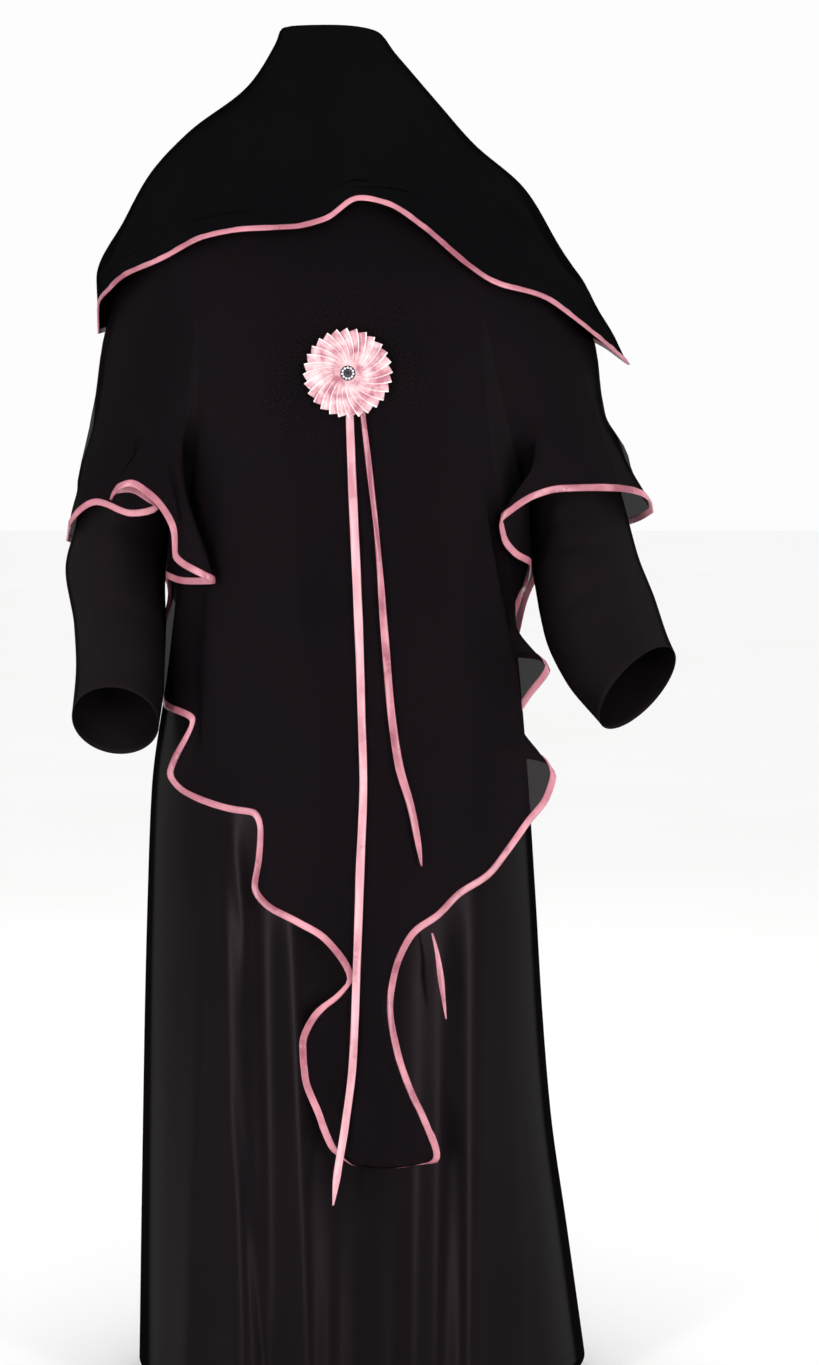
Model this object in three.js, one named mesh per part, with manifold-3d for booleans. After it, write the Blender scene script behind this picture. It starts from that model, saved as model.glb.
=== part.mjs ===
// Abaya with a ribbon-edged cape overlay, its matching veil and a pleated ribbon rosette.
// Millimetres, +Z up, the wearer faces -Y. The origin is the base of the neck.
import * as THREE from "three";
import startManifold from "manifold-3d";

// Sizes that drive the whole garment
const clothWall = 1.2;
const overlayWall = 1;
const ribbonWall = 1.2;
const ribbonProud = 0.1;
const ribbonWidth = 10;
const seamGap = 0.3;
const crossPower = 2.3;
const bodyColumns = 26;
const backColumns = 22;
const sleeveSpokes = 18;
const veilSpokes = 40;
const armholeDepth = 62;
const armholeSteps = 4;
const chestLine = -330;
const tailRibbonWall = 1.2;
const tailLift = 4;
const rosettePleats = 28;
const rosetteRadius = 51;
const rosetteBore = 8.6;
const crystalRadius = 8.2;
const shortEdge = 0.02;

// Base gown: shoulder line from the neck to the tip, one row a station
const shoulderRows = [
  { leftX: 78, leftZ: -4, rightX: 76, rightZ: -6, front: 78, frontZ: -44, back: 62, backZ: -12 },
  { leftX: 134, leftZ: -27, rightX: 127, rightZ: -31, front: 93, frontZ: -80, back: 86, backZ: -38 },
  { leftX: 190, leftZ: -50, rightX: 178, rightZ: -57, front: 109, frontZ: -112, back: 103, backZ: -66 },
];
// The same gown beside the armhole: depth at the front and back of each station
const armholeRows = [
  { front: 118, frontZ: -136, back: 108, backZ: -94 },
  { front: 129, frontZ: -166, back: 112, backZ: -140 },
  { front: 138, frontZ: -204, back: 113, backZ: -190 },
  { front: 140, frontZ: -232, back: 113, backZ: -222 },
];
const underarm = { leftX: 172, rightX: 165, z: -215 };
// From the underarm to the hem
const skirtRows = [
  { z: -290, left: 172, right: 167, front: 141, back: 112 },
  { z: -400, left: 180, right: 178, front: 141, back: 113 },
  { z: -520, left: 196, right: 196, front: 145, back: 118 },
  { z: -650, left: 212, right: 210, front: 150, back: 126 },
  { z: -785, left: 231, right: 221, front: 154, back: 136 },
  { z: -920, left: 237, right: 230, front: 162, back: 149 },
  { z: -1050, left: 241, right: 238, front: 174, back: 163 },
  { z: -1180, left: 244, right: 249, front: 187, back: 177 },
  { z: -1320, left: 247, right: 269, front: 202, back: 192 },
  { z: -1475, left: 250, right: 291, front: 220, back: 207 },
];
// Folds of the skirt: where each starts and ends, and how far it stands out or sinks in
const skirtFrontFolds = [
  { topX: -164, footX: -184, topZ: -900, rise: 7, width: 20 },
  { topX: -128, footX: -112, topZ: -760, rise: 9, width: 24 },
  { topX: -90, footX: -84, topZ: -900, rise: -10, width: 19 },
  { topX: -59, footX: -32, topZ: -860, rise: 8, width: 20 },
  { topX: 8, footX: -12, topZ: -1180, rise: -9, width: 18 },
  { topX: 40, footX: 34, topZ: -1180, rise: 7, width: 24 },
  { topX: 114, footX: 112, topZ: -900, rise: -10, width: 20 },
  { topX: 158, footX: 144, topZ: -840, rise: 9, width: 20 },
  { topX: 204, footX: 222, topZ: -1050, rise: -6, width: 22 },
];
const skirtBackFolds = [
  { topX: -170, footX: -190, topZ: -800, rise: -8, width: 24 },
  { topX: -110, footX: -124, topZ: -700, rise: 10, width: 26 },
  { topX: -50, footX: -62, topZ: -750, rise: -10, width: 24 },
  { topX: 0, footX: 2, topZ: -650, rise: 11, width: 28 },
  { topX: 56, footX: 72, topZ: -750, rise: -10, width: 24 },
  { topX: 116, footX: 140, topZ: -700, rise: 10, width: 26 },
  { topX: 176, footX: 214, topZ: -850, rise: -8, width: 24 },
];

// Sleeves: each ring by its outer and inner point, how far forward it lies and how it tips
const leftSleeveRings = [
  { outX: 214, outZ: -80, inX: 174.5, inZ: -224, y: 0, depth: 60, tip: 0 },
  { outX: 236, outZ: -118, inX: 177, inZ: -234, y: 1, depth: 57, tip: 0 },
  { outX: 254, outZ: -165, inX: 179, inZ: -248, y: 2, depth: 55, tip: 0 },
  { outX: 268, outZ: -214, inX: 181, inZ: -268, y: 3, depth: 53, tip: 0 },
  { outX: 282, outZ: -285, inX: 186, inZ: -312, y: 4, depth: 53, tip: 0 },
  { outX: 307, outZ: -395, inX: 199, inZ: -405, y: 4, depth: 54, tip: 2 },
  { outX: 319, outZ: -470, inX: 208, inZ: -474, y: 0, depth: 55, tip: 8 },
  { outX: 330, outZ: -522, inX: 213, inZ: -540, y: -18, depth: 55, tip: 20 },
  { outX: 317, outZ: -588, inX: 210, inZ: -600, y: -50, depth: 53, tip: 28 },
  { outX: 312, outZ: -645, inX: 210, inZ: -655, y: -84, depth: 53, tip: 36 },
  { outX: 314, outZ: -690, inX: 214, inZ: -700, y: -112, depth: 57, tip: 48 },
];
const rightSleeveRings = [
  { outX: 199, outZ: -88, inX: 167.5, inZ: -224, y: 0, depth: 60, tip: 0 },
  { outX: 220, outZ: -125, inX: 170.5, inZ: -234, y: 1, depth: 57, tip: 0 },
  { outX: 240, outZ: -168, inX: 174, inZ: -249, y: 2, depth: 55, tip: 0 },
  { outX: 259, outZ: -214, inX: 178, inZ: -270, y: 3, depth: 53, tip: 0 },
  { outX: 283, outZ: -290, inX: 189, inZ: -322, y: 4, depth: 54, tip: 0 },
  { outX: 314, outZ: -385, inX: 209, inZ: -412, y: 4, depth: 56, tip: 2 },
  { outX: 333, outZ: -446, inX: 218, inZ: -482, y: -2, depth: 57, tip: 8 },
  { outX: 349, outZ: -508, inX: 228, inZ: -545, y: -22, depth: 58, tip: 18 },
  { outX: 367, outZ: -557, inX: 238, inZ: -600, y: -48, depth: 56, tip: 26 },
  { outX: 377, outZ: -592, inX: 262, inZ: -652, y: -78, depth: 54, tip: 34 },
  { outX: 383, outZ: -612, inX: 304, inZ: -702, y: -106, depth: 56, tip: 44 },
];

// Overlay: its smooth form by height, from the neck down over both shoulders and arms
const overlayForm = [
  { z: 4, left: 80, right: 78, front: 60, back: 58 },
  { z: -12, left: 128, right: 118, front: 72, back: 74 },
  { z: -30, left: 170, right: 150, front: 86, back: 92 },
  { z: -50, left: 202, right: 182, front: 97, back: 106 },
  { z: -80, left: 226, right: 208, front: 112, back: 118 },
  { z: -120, left: 246, right: 233, front: 128, back: 125 },
  { z: -160, left: 260, right: 252, front: 143, back: 129 },
  { z: -205, left: 274, right: 274, front: 153, back: 131 },
  { z: -260, left: 288, right: 300, front: 157, back: 132 },
  { z: -330, left: 298, right: 309, front: 158, back: 134 },
  { z: -405, left: 318, right: 342, front: 157, back: 138 },
  { z: -450, left: 326, right: 368, front: 156, back: 141 },
  { z: -500, left: 332, right: 372, front: 157, back: 144 },
  { z: -650, left: 330, right: 372, front: 163, back: 154 },
  { z: -785, left: 330, right: 372, front: 171, back: 164 },
  { z: -920, left: 330, right: 372, front: 184, back: 176 },
  { z: -1050, left: 330, right: 372, front: 202, back: 192 },
  { z: -1200, left: 330, right: 372, front: 229, back: 210 },
];
const overlayNeckDip = 46;
const overlayFolds = [
  { topX: -84, footX: -100, topZ: -190, footZ: -560, rise: 6, width: 20 },
  { topX: -66, footX: -4, topZ: -300, footZ: -960, rise: 6, width: 18 },
  { topX: 112, footX: 150, topZ: -220, footZ: -800, rise: 6, width: 20 },
  { topX: 68, footX: 100, topZ: -170, footZ: -400, rise: 4, width: 16 },
  { topX: 262, footX: 210, topZ: -320, footZ: -440, rise: 4, width: 16 },
];
// Front hem of the overlay, one row a turn, from the left arm seam over the centre tail to the
// right arm seam. x, y, z: the ribbon's outer edge. chest: where the same thread of cloth crosses
// the chest line. hang: how far above the hem it falls free; overX, overY: where it does so.
// curl: degrees by which the edge rolls under.
const overlayHem = [
  { x: -331, y: 0, z: -490, chest: -298, hang: 60 },
  { x: -323, y: -32, z: -470, chest: -292, hang: 60 },
  { x: -288, y: -66, z: -445, chest: -276, hang: 60, overX: -282, overY: -80 },
  { x: -247, y: -84, z: -458, chest: -262, hang: 90, overX: -262, overY: -92 },
  { x: -227, y: -92, z: -456, chest: -256.5, hang: 90, overX: -255, overY: -97 },
  { x: -214, y: -100, z: -449, chest: -251, hang: 86, overX: -247, overY: -100 },
  { x: -226, y: -110, z: -440, chest: -246.5, hang: 82, overX: -243.5, overY: -105 },
  { x: -246, y: -114, z: -429, chest: -241.5, hang: 74, overX: -238.5, overY: -110 },
  { x: -262, y: -120, z: -431, chest: -237.5, hang: 75, overX: -234.5, overY: -114 },
  { x: -266, y: -127, z: -438, chest: -234.5, hang: 80, overX: -231.5, overY: -117 },
  { x: -259, y: -134, z: -428, chest: -231.5, hang: 74, overX: -228.5, overY: -120 },
  { x: -243, y: -139, z: -422, chest: -227, hang: 72, overX: -224, overY: -123.5 },
  { x: -226, y: -140, z: -431, chest: -223, hang: 80, overX: -219.5, overY: -126 },
  { x: -209, y: -139, z: -448, chest: -219, hang: 92, overX: -215.5, overY: -128 },
  { x: -196, y: -137, z: -476, chest: -212, hang: 110, overX: -207, overY: -129 },
  { x: -194, y: -141, z: -503, chest: -204, hang: 120, overX: -199, overY: -132 },
  { x: -157, y: -158, z: -527, chest: -192, hang: 130, overX: -186, overY: -138 },
  { x: -146, y: -150, z: -533, chest: -184, hang: 130, overX: -180, overY: -132 },
  { x: -182, y: -122, z: -535, chest: -177, hang: 120, overX: -184, overY: -118 },
  { x: -208, y: -58, z: -530, chest: -171, hang: 110, overX: -197, overY: -92 },
  { x: -211, y: -2, z: -560, chest: -166, hang: 90, overX: -201, overY: -44 },
  { x: -219, y: -4, z: -612, chest: -162, hang: 90, overX: -201, overY: -52 },
  { x: -217, y: -28, z: -664, chest: -157, hang: 80, overX: -200, overY: -65 },
  { x: -211, y: -66, z: -682, chest: -150, hang: 70, overX: -197, overY: -80 },
  { x: -177, y: -114, z: -696, chest: -136, hang: 42, overX: -167, overY: -115 },
  { x: -200, y: -103, z: -741, chest: -128, hang: 20, overX: -164, overY: -124 },
  { x: -205, y: -100, z: -758, chest: -122, hang: 34, overX: -160, overY: -127 },
  { x: -190, y: -106, z: -779, chest: -114, hang: 52, overX: -155, overY: -130 },
  { x: -130, y: -142, z: -798, chest: -96, hang: 60, overX: -122, overY: -142 },
  { x: -103, y: -153, z: -801, chest: -86, hang: 40, overX: -93, overY: -154 },
  { x: -97, y: -157, z: -817, chest: -80, hang: 34, overX: -82, overY: -159 },
  { x: -99, y: -162, z: -849, chest: -73, hang: 44, overX: -76, overY: -163 },
  { x: -104, y: -166, z: -882, chest: -66, hang: 60, overX: -70, overY: -166 },
  { x: -91, y: -172, z: -903, chest: -57, hang: 60, overX: -62, overY: -169 },
  { x: -52, y: -181, z: -924, chest: -42, hang: 60, overX: -42, overY: -175 },
  { x: -22, y: -187, z: -941, chest: -28, hang: 46, overX: -12, overY: -181 },
  { x: 7, y: -194, z: -984, chest: -12, hang: 50, overX: 19 },
  { x: -4, y: -197, z: -999, chest: -4, hang: 35, overX: 21.5 },
  { x: -33, y: -200, z: -1023, chest: 3, hang: 38, overX: 24 },
  { x: -48, y: -205, z: -1058, chest: 9, hang: 60, overX: 26.5 },
  { x: -45, y: -210, z: -1096, chest: 14, hang: 88, overX: 29 },
  { x: -29, y: -216, z: -1138, chest: 19, hang: 124, overX: 31 },
  { x: -15, y: -223, z: -1174, chest: 24, hang: 156, overX: 33, curl: 25 },
  { x: 6, y: -231, z: -1214, chest: 29, hang: 195, overX: 34.5, curl: 135 },
  { x: 50, y: -233, z: -1219, chest: 37, hang: 199, overX: 36.5, curl: 135 },
  { x: 92, y: -231, z: -1214, chest: 45, hang: 194, overX: 38.5, curl: 135 },
  { x: 113, y: -224, z: -1187, chest: 51, hang: 170, overX: 40.5, curl: 25 },
  { x: 100, y: -217, z: -1146, chest: 56, hang: 136, overX: 42.5 },
  { x: 82, y: -210, z: -1108, chest: 60, hang: 107, overX: 44.5 },
  { x: 68, y: -204, z: -1067, chest: 65, hang: 78, overX: 46.5 },
  { x: 59, y: -198, z: -1016, chest: 70, hang: 47, overX: 49 },
  { x: 64, y: -191, z: -980, chest: 76, hang: 38, overX: 54 },
  { x: 84, y: -181, z: -937, chest: 84, hang: 44, overX: 70, overY: -178 },
  { x: 113, y: -171, z: -917, chest: 94, hang: 50, overX: 100, overY: -169 },
  { x: 137, y: -161, z: -894, chest: 103, hang: 50, overX: 121, overY: -161 },
  { x: 171, y: -145, z: -874, chest: 114, hang: 70, overX: 146, overY: -150 },
  { x: 195, y: -133, z: -846, chest: 123, hang: 80, overX: 166, overY: -138 },
  { x: 218, y: -124, z: -815, chest: 132, hang: 80, overX: 184, overY: -125 },
  { x: 241, y: -117, z: -786, chest: 141, hang: 74, overX: 201, overY: -113 },
  { x: 249, y: -111, z: -760, chest: 149, hang: 60, overX: 210, overY: -107 },
  { x: 235, y: -106, z: -744, chest: 154, hang: 55, overX: 205, overY: -103 },
  { x: 209, y: -103, z: -739, chest: 158, hang: 56, overX: 196, overY: -100 },
  { x: 186, y: -98, z: -735, chest: 162, hang: 60, overX: 187, overY: -96 },
  { x: 199, y: -87, z: -704, chest: 167, hang: 50, overX: 188, overY: -88 },
  { x: 219, y: -83, z: -672, chest: 173, hang: 54, overX: 195, overY: -81 },
  { x: 243, y: -81, z: -638, chest: 179, hang: 52, overX: 203, overY: -76 },
  { x: 231, y: -75, z: -627, chest: 184, hang: 52, overX: 201, overY: -71 },
  { x: 195, y: -68, z: -621, chest: 190, hang: 70, overX: 194, overY: -65 },
  { x: 205, y: -52, z: -572, chest: 197, hang: 50, overX: 197, overY: -55 },
  { x: 211, y: -26, z: -554, chest: 203, hang: 60, overX: 204, overY: -49 },
  { x: 217, y: 6, z: -547, chest: 209, hang: 70, overX: 209, overY: -45 },
  { x: 221, y: -14, z: -531, chest: 214.5, hang: 62, overX: 214, overY: -58 },
  { x: 220, y: -66, z: -517, chest: 219, hang: 70, overX: 217, overY: -84 },
  { x: 200, y: -104, z: -504, chest: 223, hang: 80, overX: 216, overY: -102 },
  { x: 185, y: -121, z: -485, chest: 227, hang: 80, overX: 217, overY: -112 },
  { x: 182, y: -128, z: -467, chest: 231, hang: 75, overX: 220, overY: -117 },
  { x: 196, y: -130, z: -453, chest: 237, hang: 70, overX: 226, overY: -120 },
  { x: 224, y: -121, z: -436, chest: 248, hang: 60, overX: 238, overY: -116 },
  { x: 252, y: -110, z: -429, chest: 260, hang: 55, overX: 256, overY: -106 },
  { x: 288, y: -95, z: -428, chest: 276, hang: 55, overX: 282, overY: -90 },
  { x: 322, y: -74, z: -429, chest: 292, hang: 55, overX: 307, overY: -66 },
  { x: 352, y: -46, z: -435, chest: 304, hang: 55, overX: 326, overY: -38 },
  { x: 366, y: -20, z: -446, chest: 308, hang: 60, overX: 332, overY: -14 },
  { x: 369, y: 0, z: -456, chest: 309, hang: 60, overX: 333, overY: 0 },
];
// Back hem of the overlay, from the left arm seam to the right arm seam
const overlayBackHem = [
  { x: -331, y: 0, z: -490, chest: -298, hang: 60 },
  { x: -314, y: 62, z: -500, chest: -286, hang: 80 },
  { x: -262, y: 118, z: -505, chest: -250, hang: 120 },
  { x: -214, y: 110, z: -560, chest: -214, hang: 160 },
  { x: -196, y: 148, z: -640, chest: -182, hang: 200 },
  { x: -150, y: 152, z: -680, chest: -146, hang: 200 },
  { x: -128, y: 174, z: -760, chest: -112, hang: 240 },
  { x: -84, y: 166, z: -795, chest: -74, hang: 220 },
  { x: -52, y: 192, z: -880, chest: -42, hang: 260 },
  { x: 0, y: 184, z: -925, chest: 0, hang: 240 },
  { x: 50, y: 194, z: -885, chest: 42, hang: 260 },
  { x: 86, y: 168, z: -800, chest: 76, hang: 220 },
  { x: 128, y: 176, z: -765, chest: 114, hang: 240 },
  { x: 156, y: 154, z: -685, chest: 150, hang: 200 },
  { x: 206, y: 150, z: -640, chest: 188, hang: 200 },
  { x: 226, y: 114, z: -560, chest: 222, hang: 160 },
  { x: 280, y: 118, z: -490, chest: 260, hang: 120 },
  { x: 336, y: 70, z: -475, chest: 294, hang: 80 },
  { x: 356, y: 26, z: -466, chest: 306, hang: 60 },
  { x: 369, y: 0, z: -456, chest: 309, hang: 60 },
];
const hemStep = 26;
const backHemStep = 38;
const threadPitch = 4;
// Passes that soften the high rows sideways
const softening = 2;
// Passes that soften the wall's normals sideways
const normalSoftening = 4;
const leaveReach = 28;
// Lengths from the hem of the lowest cloth rows, and the shares of the rest
const lowRows = [20, 34, 62, 106];
const highShares = [0.84, 0.67, 0.5, 0.34, 0.22, 0.13, 0.06, 0];
const curlLength = 34;

// Veil: stations from the neck cap to just above its edge
const veilStations = [
  { left: -72, leftZ: 113, right: 40, rightZ: 109, front: 52, frontZ: 112, back: 52, backZ: 112 },
  { left: -80, leftZ: 96, right: 62, rightZ: 84, front: 60, frontZ: 93, back: 60, backZ: 92 },
  { left: -112, leftZ: 47, right: 114, rightZ: 24, front: 76, frontZ: 50, back: 80, backZ: 50 },
  { left: -184, leftZ: -9, right: 155, rightZ: -22, front: 96, frontZ: 6, back: 104, backZ: 4 },
  { left: -229, leftZ: -57, right: 215, rightZ: -75, front: 112, frontZ: -34, back: 126, backZ: -50 },
  { left: -259, leftZ: -110, right: 256, rightZ: -145, front: 122, frontZ: -60, back: 138, backZ: -100 },
  { left: -293, leftZ: -180, right: 297, rightZ: -212, front: 128, frontZ: -80, back: 144, backZ: -148 },
];
// Lower edge of the veil all round: turn is the bearing from the front, in degrees
const veilEdge = [
  { turn: -92, x: -290, y: -12, z: -244 },
  { turn: -84, x: -287, y: -42, z: -212 },
  { turn: -76, x: -271, y: -64, z: -195 },
  { turn: -66, x: -250, y: -82, z: -181 },
  { turn: -52, x: -205, y: -106, z: -162 },
  { turn: -40, x: -155, y: -124, z: -140 },
  { turn: -28, x: -105, y: -134, z: -131 },
  { turn: -16, x: -58, y: -138, z: -130 },
  { turn: -6, x: -18, y: -138, z: -121 },
  { turn: 4, x: 20, y: -130, z: -96 },
  { turn: 14, x: 54, y: -134, z: -104 },
  { turn: 24, x: 92, y: -136, z: -128 },
  { turn: 37, x: 140, y: -132, z: -170 },
  { turn: 49, x: 182, y: -120, z: -194 },
  { turn: 61, x: 232, y: -100, z: -207 },
  { turn: 71, x: 270, y: -82, z: -230 },
  { turn: 81, x: 303, y: -60, z: -257 },
  { turn: 91, x: 337, y: -26, z: -281 },
  { turn: 104, x: 312, y: 38, z: -262 },
  { turn: 122, x: 262, y: 96, z: -236 },
  { turn: 144, x: 168, y: 138, z: -212 },
  { turn: 166, x: 60, y: 150, z: -198 },
  { turn: 190, x: -52, y: 148, z: -194 },
  { turn: 214, x: -158, y: 138, z: -204 },
  { turn: 236, x: -234, y: 104, z: -220 },
  { turn: 256, x: -280, y: 42, z: -238 },
];
const veilLift = 7;

// Rosette, its ribbon tails and the loose end of the hem ribbon
const rosetteAt = { x: 8, z: -293 };
const longTail = [
  { x: 10, z: -346, width: 9 },
  { x: 14, z: -450, width: 10 },
  { x: 19, z: -560, width: 10 },
  { x: 23, z: -680, width: 9 },
  { x: 25, z: -760, width: 9 },
  { x: 21, z: -870, width: 10 },
  { x: 18, z: -960, width: 9 },
  { x: 13, z: -1080, width: 9 },
  { x: 5, z: -1145, width: 9 },
  { x: -4, z: -1200, width: 9 },
  { x: -9, z: -1238, width: 2 },
];
const shortTail = [
  { x: 25, z: -342, width: 6 },
  { x: 32, z: -400, width: 7 },
  { x: 40, z: -470, width: 6 },
  { x: 50, z: -596, width: 9 },
  { x: 56, z: -670, width: 9 },
  { x: 66, z: -740, width: 10 },
  { x: 80, z: -790, width: 9 },
  { x: 88, z: -830, width: 7 },
  { x: 92, z: -856, width: 2 },
];
const looseEnd = [
  { x: 104, z: -934, width: 2.5 },
  { x: 110, z: -958, width: 5 },
  { x: 114, z: -984, width: 7.5 },
  { x: 117, z: -1008, width: 5 },
  { x: 120, z: -1032, width: 1.5 },
];

const vec = (x, y, z) => new THREE.Vector3(x, y, z);
const mix = (a, b, t) => a + (b - a) * t;
const rad = (degrees) => (degrees * Math.PI) / 180;
const clamp01 = (t) => Math.min(1, Math.max(0, t));
const ease = (t) => clamp01(t) ** 2 * (3 - 2 * clamp01(t));
const rounded = (c) => Math.sign(c) * Math.abs(c) ** (2 / crossPower);

// Value of one named column at a key, smooth between rows and level where it turns
function sample(rows, key, at, name) {
  const rising = rows[rows.length - 1][key] > rows[0][key] ? 1 : -1;
  const last = rows.length - 2;
  let k = 0;
  while (k < last && rising * (at - rows[k + 1][key]) > 0) k += 1;
  const slope = (i) => (rows[i + 1][name] - rows[i][name]) / (rows[i + 1][key] - rows[i][key]);
  const bend = (i) => {
    if (i < 1 || i > last) return slope(Math.min(Math.max(i, 0), last));
    const before = slope(i - 1);
    const after = slope(i);
    return before * after <= 0 ? 0 : (2 * before * after) / (before + after);
  };
  const span = rows[k + 1][key] - rows[k][key];
  const t = clamp01((at - rows[k][key]) / span);
  const start = rows[k][name] * (1 + 2 * t) * (1 - t) ** 2 + bend(k) * span * t * (1 - t) ** 2;
  return start + rows[k + 1][name] * t * t * (3 - 2 * t) + bend(k + 1) * span * t * t * (t - 1);
}

// How far a set of folds stands out at one point
function foldRise(folds, x, z, foot) {
  return folds.reduce((sum, f) => {
    const end = f.footZ ?? foot;
    const down = clamp01((f.topZ - z) / (f.topZ - end));
    const off = (x - mix(f.topX, f.footX, down)) / f.width;
    const start = ease((f.topZ + 60 - z) / 160);
    const stop = f.footZ ? ease((z - f.footZ + 120) / 160) : 0.45 + 0.55 * down;
    return sum + f.rise * start * stop * Math.exp(-off * off);
  }, 0);
}

// Normals of a grid of points; grid[row][column], closed round when asked
function gridNormals(grid, round) {
  const count = grid[0].length;
  const spans = round ? count : count - 1;
  const normals = grid.map((row) => row.map(() => vec(0, 0, 0)));
  for (let j = 0; j < grid.length - 1; j += 1)
    for (let i = 0; i < spans; i += 1) {
      const n = (i + 1) % count;
      const fall = grid[j + 1][n].clone().sub(grid[j][i]);
      const back = grid[j + 1][i].clone().sub(grid[j][n]);
      const area = fall.cross(back);
      for (const normal of [normals[j][i], normals[j][n], normals[j + 1][n], normals[j + 1][i]])
        normal.add(area);
    }
  normals.forEach((row) => row.forEach((normal) => normal.normalize()));
  return normals;
}

// Normals that turn more slowly sideways, so that tight folds keep their wall
function softNormals(normals) {
  for (let pass = 0; pass < normalSoftening; pass += 1)
    normals.forEach((row) => {
      const before = row.map((n) => n.clone());
      for (let i = 1; i < row.length - 1; i += 1)
        row[i].multiplyScalar(2).add(before[i - 1]).add(before[i + 1]).normalize();
    });
  return normals;
}

// The rows on either side of a seam share one normal, so that their walls stay apart
function seamNormals(normals, cut) {
  normals[cut].forEach((n, i) => {
    const shared = n.clone().add(normals[cut - 1][i]).normalize();
    n.copy(shared);
    normals[cut - 1][i].copy(shared);
  });
  return normals;
}

// A closed wall between a grid and its offset. inward: +1 where across x down points inside.
function wallGeometry(grid, normals, wall, { round = false, inward = 1, proud = 0, hold } = {}) {
  const rows = grid.length;
  const count = grid[0].length;
  const points = [];
  const pointOf = new Map();
  const put = (p) => {
    const key = [p.x, p.y, p.z].map((c) => c.toFixed(3)).join();
    if (!pointOf.has(key)) pointOf.set(key, points.push(p) - 1);
    return pointOf.get(key);
  };
  const layer = (depth) =>
    grid.map((row, j) =>
      row.map((p, i) => {
        const moved = p.clone().addScaledVector(normals[j][i], inward * depth);
        return put(hold ? hold(moved, i, j) : moved);
      }),
    );
  const outer = layer(-proud);
  const inner = layer(wall - proud);
  const faces = [];
  const tri = (a, b, c) => {
    if (a !== b && b !== c && a !== c) faces.push(a, b, c);
  };
  const quad = (a, b, c, d) => {
    tri(a, b, c);
    tri(a, c, d);
  };
  const spans = round ? count : count - 1;
  for (let j = 0; j < rows - 1; j += 1)
    for (let i = 0; i < spans; i += 1) {
      const n = (i + 1) % count;
      quad(outer[j][i], outer[j][n], outer[j + 1][n], outer[j + 1][i]);
      quad(inner[j][i], inner[j + 1][i], inner[j + 1][n], inner[j][n]);
    }
  for (let i = 0; i < spans; i += 1) {
    const n = (i + 1) % count;
    quad(outer[0][n], outer[0][i], inner[0][i], inner[0][n]);
    quad(outer[rows - 1][i], outer[rows - 1][n], inner[rows - 1][n], inner[rows - 1][i]);
  }
  for (let j = 0; !round && j < rows - 1; j += 1) {
    const e = count - 1;
    quad(outer[j][0], outer[j + 1][0], inner[j + 1][0], inner[j][0]);
    quad(outer[j][e], inner[j][e], inner[j + 1][e], outer[j + 1][e]);
  }
  return facing(points, faces);
}

// A closed mesh from points and faces, turned so that it faces out
function facing(points, faces) {
  let volume = 0;
  for (let f = 0; f < faces.length; f += 3)
    volume += points[faces[f]].dot(points[faces[f + 1]].clone().cross(points[faces[f + 2]]));
  const turned = volume < 0 ? faces.slice().reverse() : faces;
  const geometry = new THREE.BufferGeometry().setFromPoints(points);
  geometry.setIndex(turned);
  geometry.computeVertexNormals();
  return geometry;
}

const solids = await startManifold();
solids.setup();
function solidOf(geometry) {
  const vertProperties = new Float32Array(geometry.attributes.position.array);
  const triVerts = new Uint32Array(geometry.index.array);
  return new solids.Manifold(new solids.Mesh({ numProp: 3, vertProperties, triVerts }));
}
function geometryOf(solid) {
  const mesh = largest(solid.simplify(shortEdge)).getMesh();
  const geometry = new THREE.BufferGeometry();
  geometry.setAttribute("position", new THREE.BufferAttribute(new Float32Array(mesh.vertProperties), 3));
  geometry.setIndex([...mesh.triVerts]);
  geometry.computeVertexNormals();
  return geometry;
}
const largest = (solid) => solid.decompose().sort((a, b) => b.volume() - a.volume())[0];
const garment = new THREE.Group();
garment.name = "abaya";
function addPiece(name, geometry, look) {
  const mesh = new THREE.Mesh(geometry, new THREE.MeshStandardMaterial(look));
  mesh.name = name;
  garment.add(mesh);
}
const crepeLook = { color: 0x19161a, roughness: 0.55, metalness: 0 };
const chiffonLook = { color: 0x151115, roughness: 0.8, metalness: 0 };
const veilLook = { color: 0x0e0e10, roughness: 0.85, metalness: 0 };
const ribbonLook = { color: 0xe08f9c, roughness: 0.35, metalness: 0 };
const rosetteLook = { color: 0xf2b8c0, roughness: 0.35, metalness: 0 };
const crystalLook = { color: 0x8c8f9c, roughness: 0.15, metalness: 0.2 };

// Rows of the base gown's edge and depth, from the neck to the hem
const gownRows = [
  ...shoulderRows.map((r) => ({ ...r, edge: 0 })),
  ...armholeRows.map((r, k) => {
    const angle = (Math.PI * (k + 1)) / armholeSteps;
    const down = (1 - Math.cos(angle)) / 2;
    const tip = shoulderRows[shoulderRows.length - 1];
    return {
      ...r,
      leftX: mix(tip.leftX, underarm.leftX, down),
      leftZ: mix(tip.leftZ, underarm.z, down),
      rightX: mix(tip.rightX, underarm.rightX, down),
      rightZ: mix(tip.rightZ, underarm.z, down),
      edge: armholeDepth * Math.sin(angle),
    };
  }),
  ...skirtRows.map((r) => ({
    leftX: r.left,
    leftZ: r.z,
    rightX: r.right,
    rightZ: r.z,
    front: r.front,
    frontZ: r.z,
    back: r.back,
    backZ: r.z,
    edge: 0,
  })),
];
const tipRow = shoulderRows.length - 1;
const underarmRow = tipRow + armholeSteps;

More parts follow.
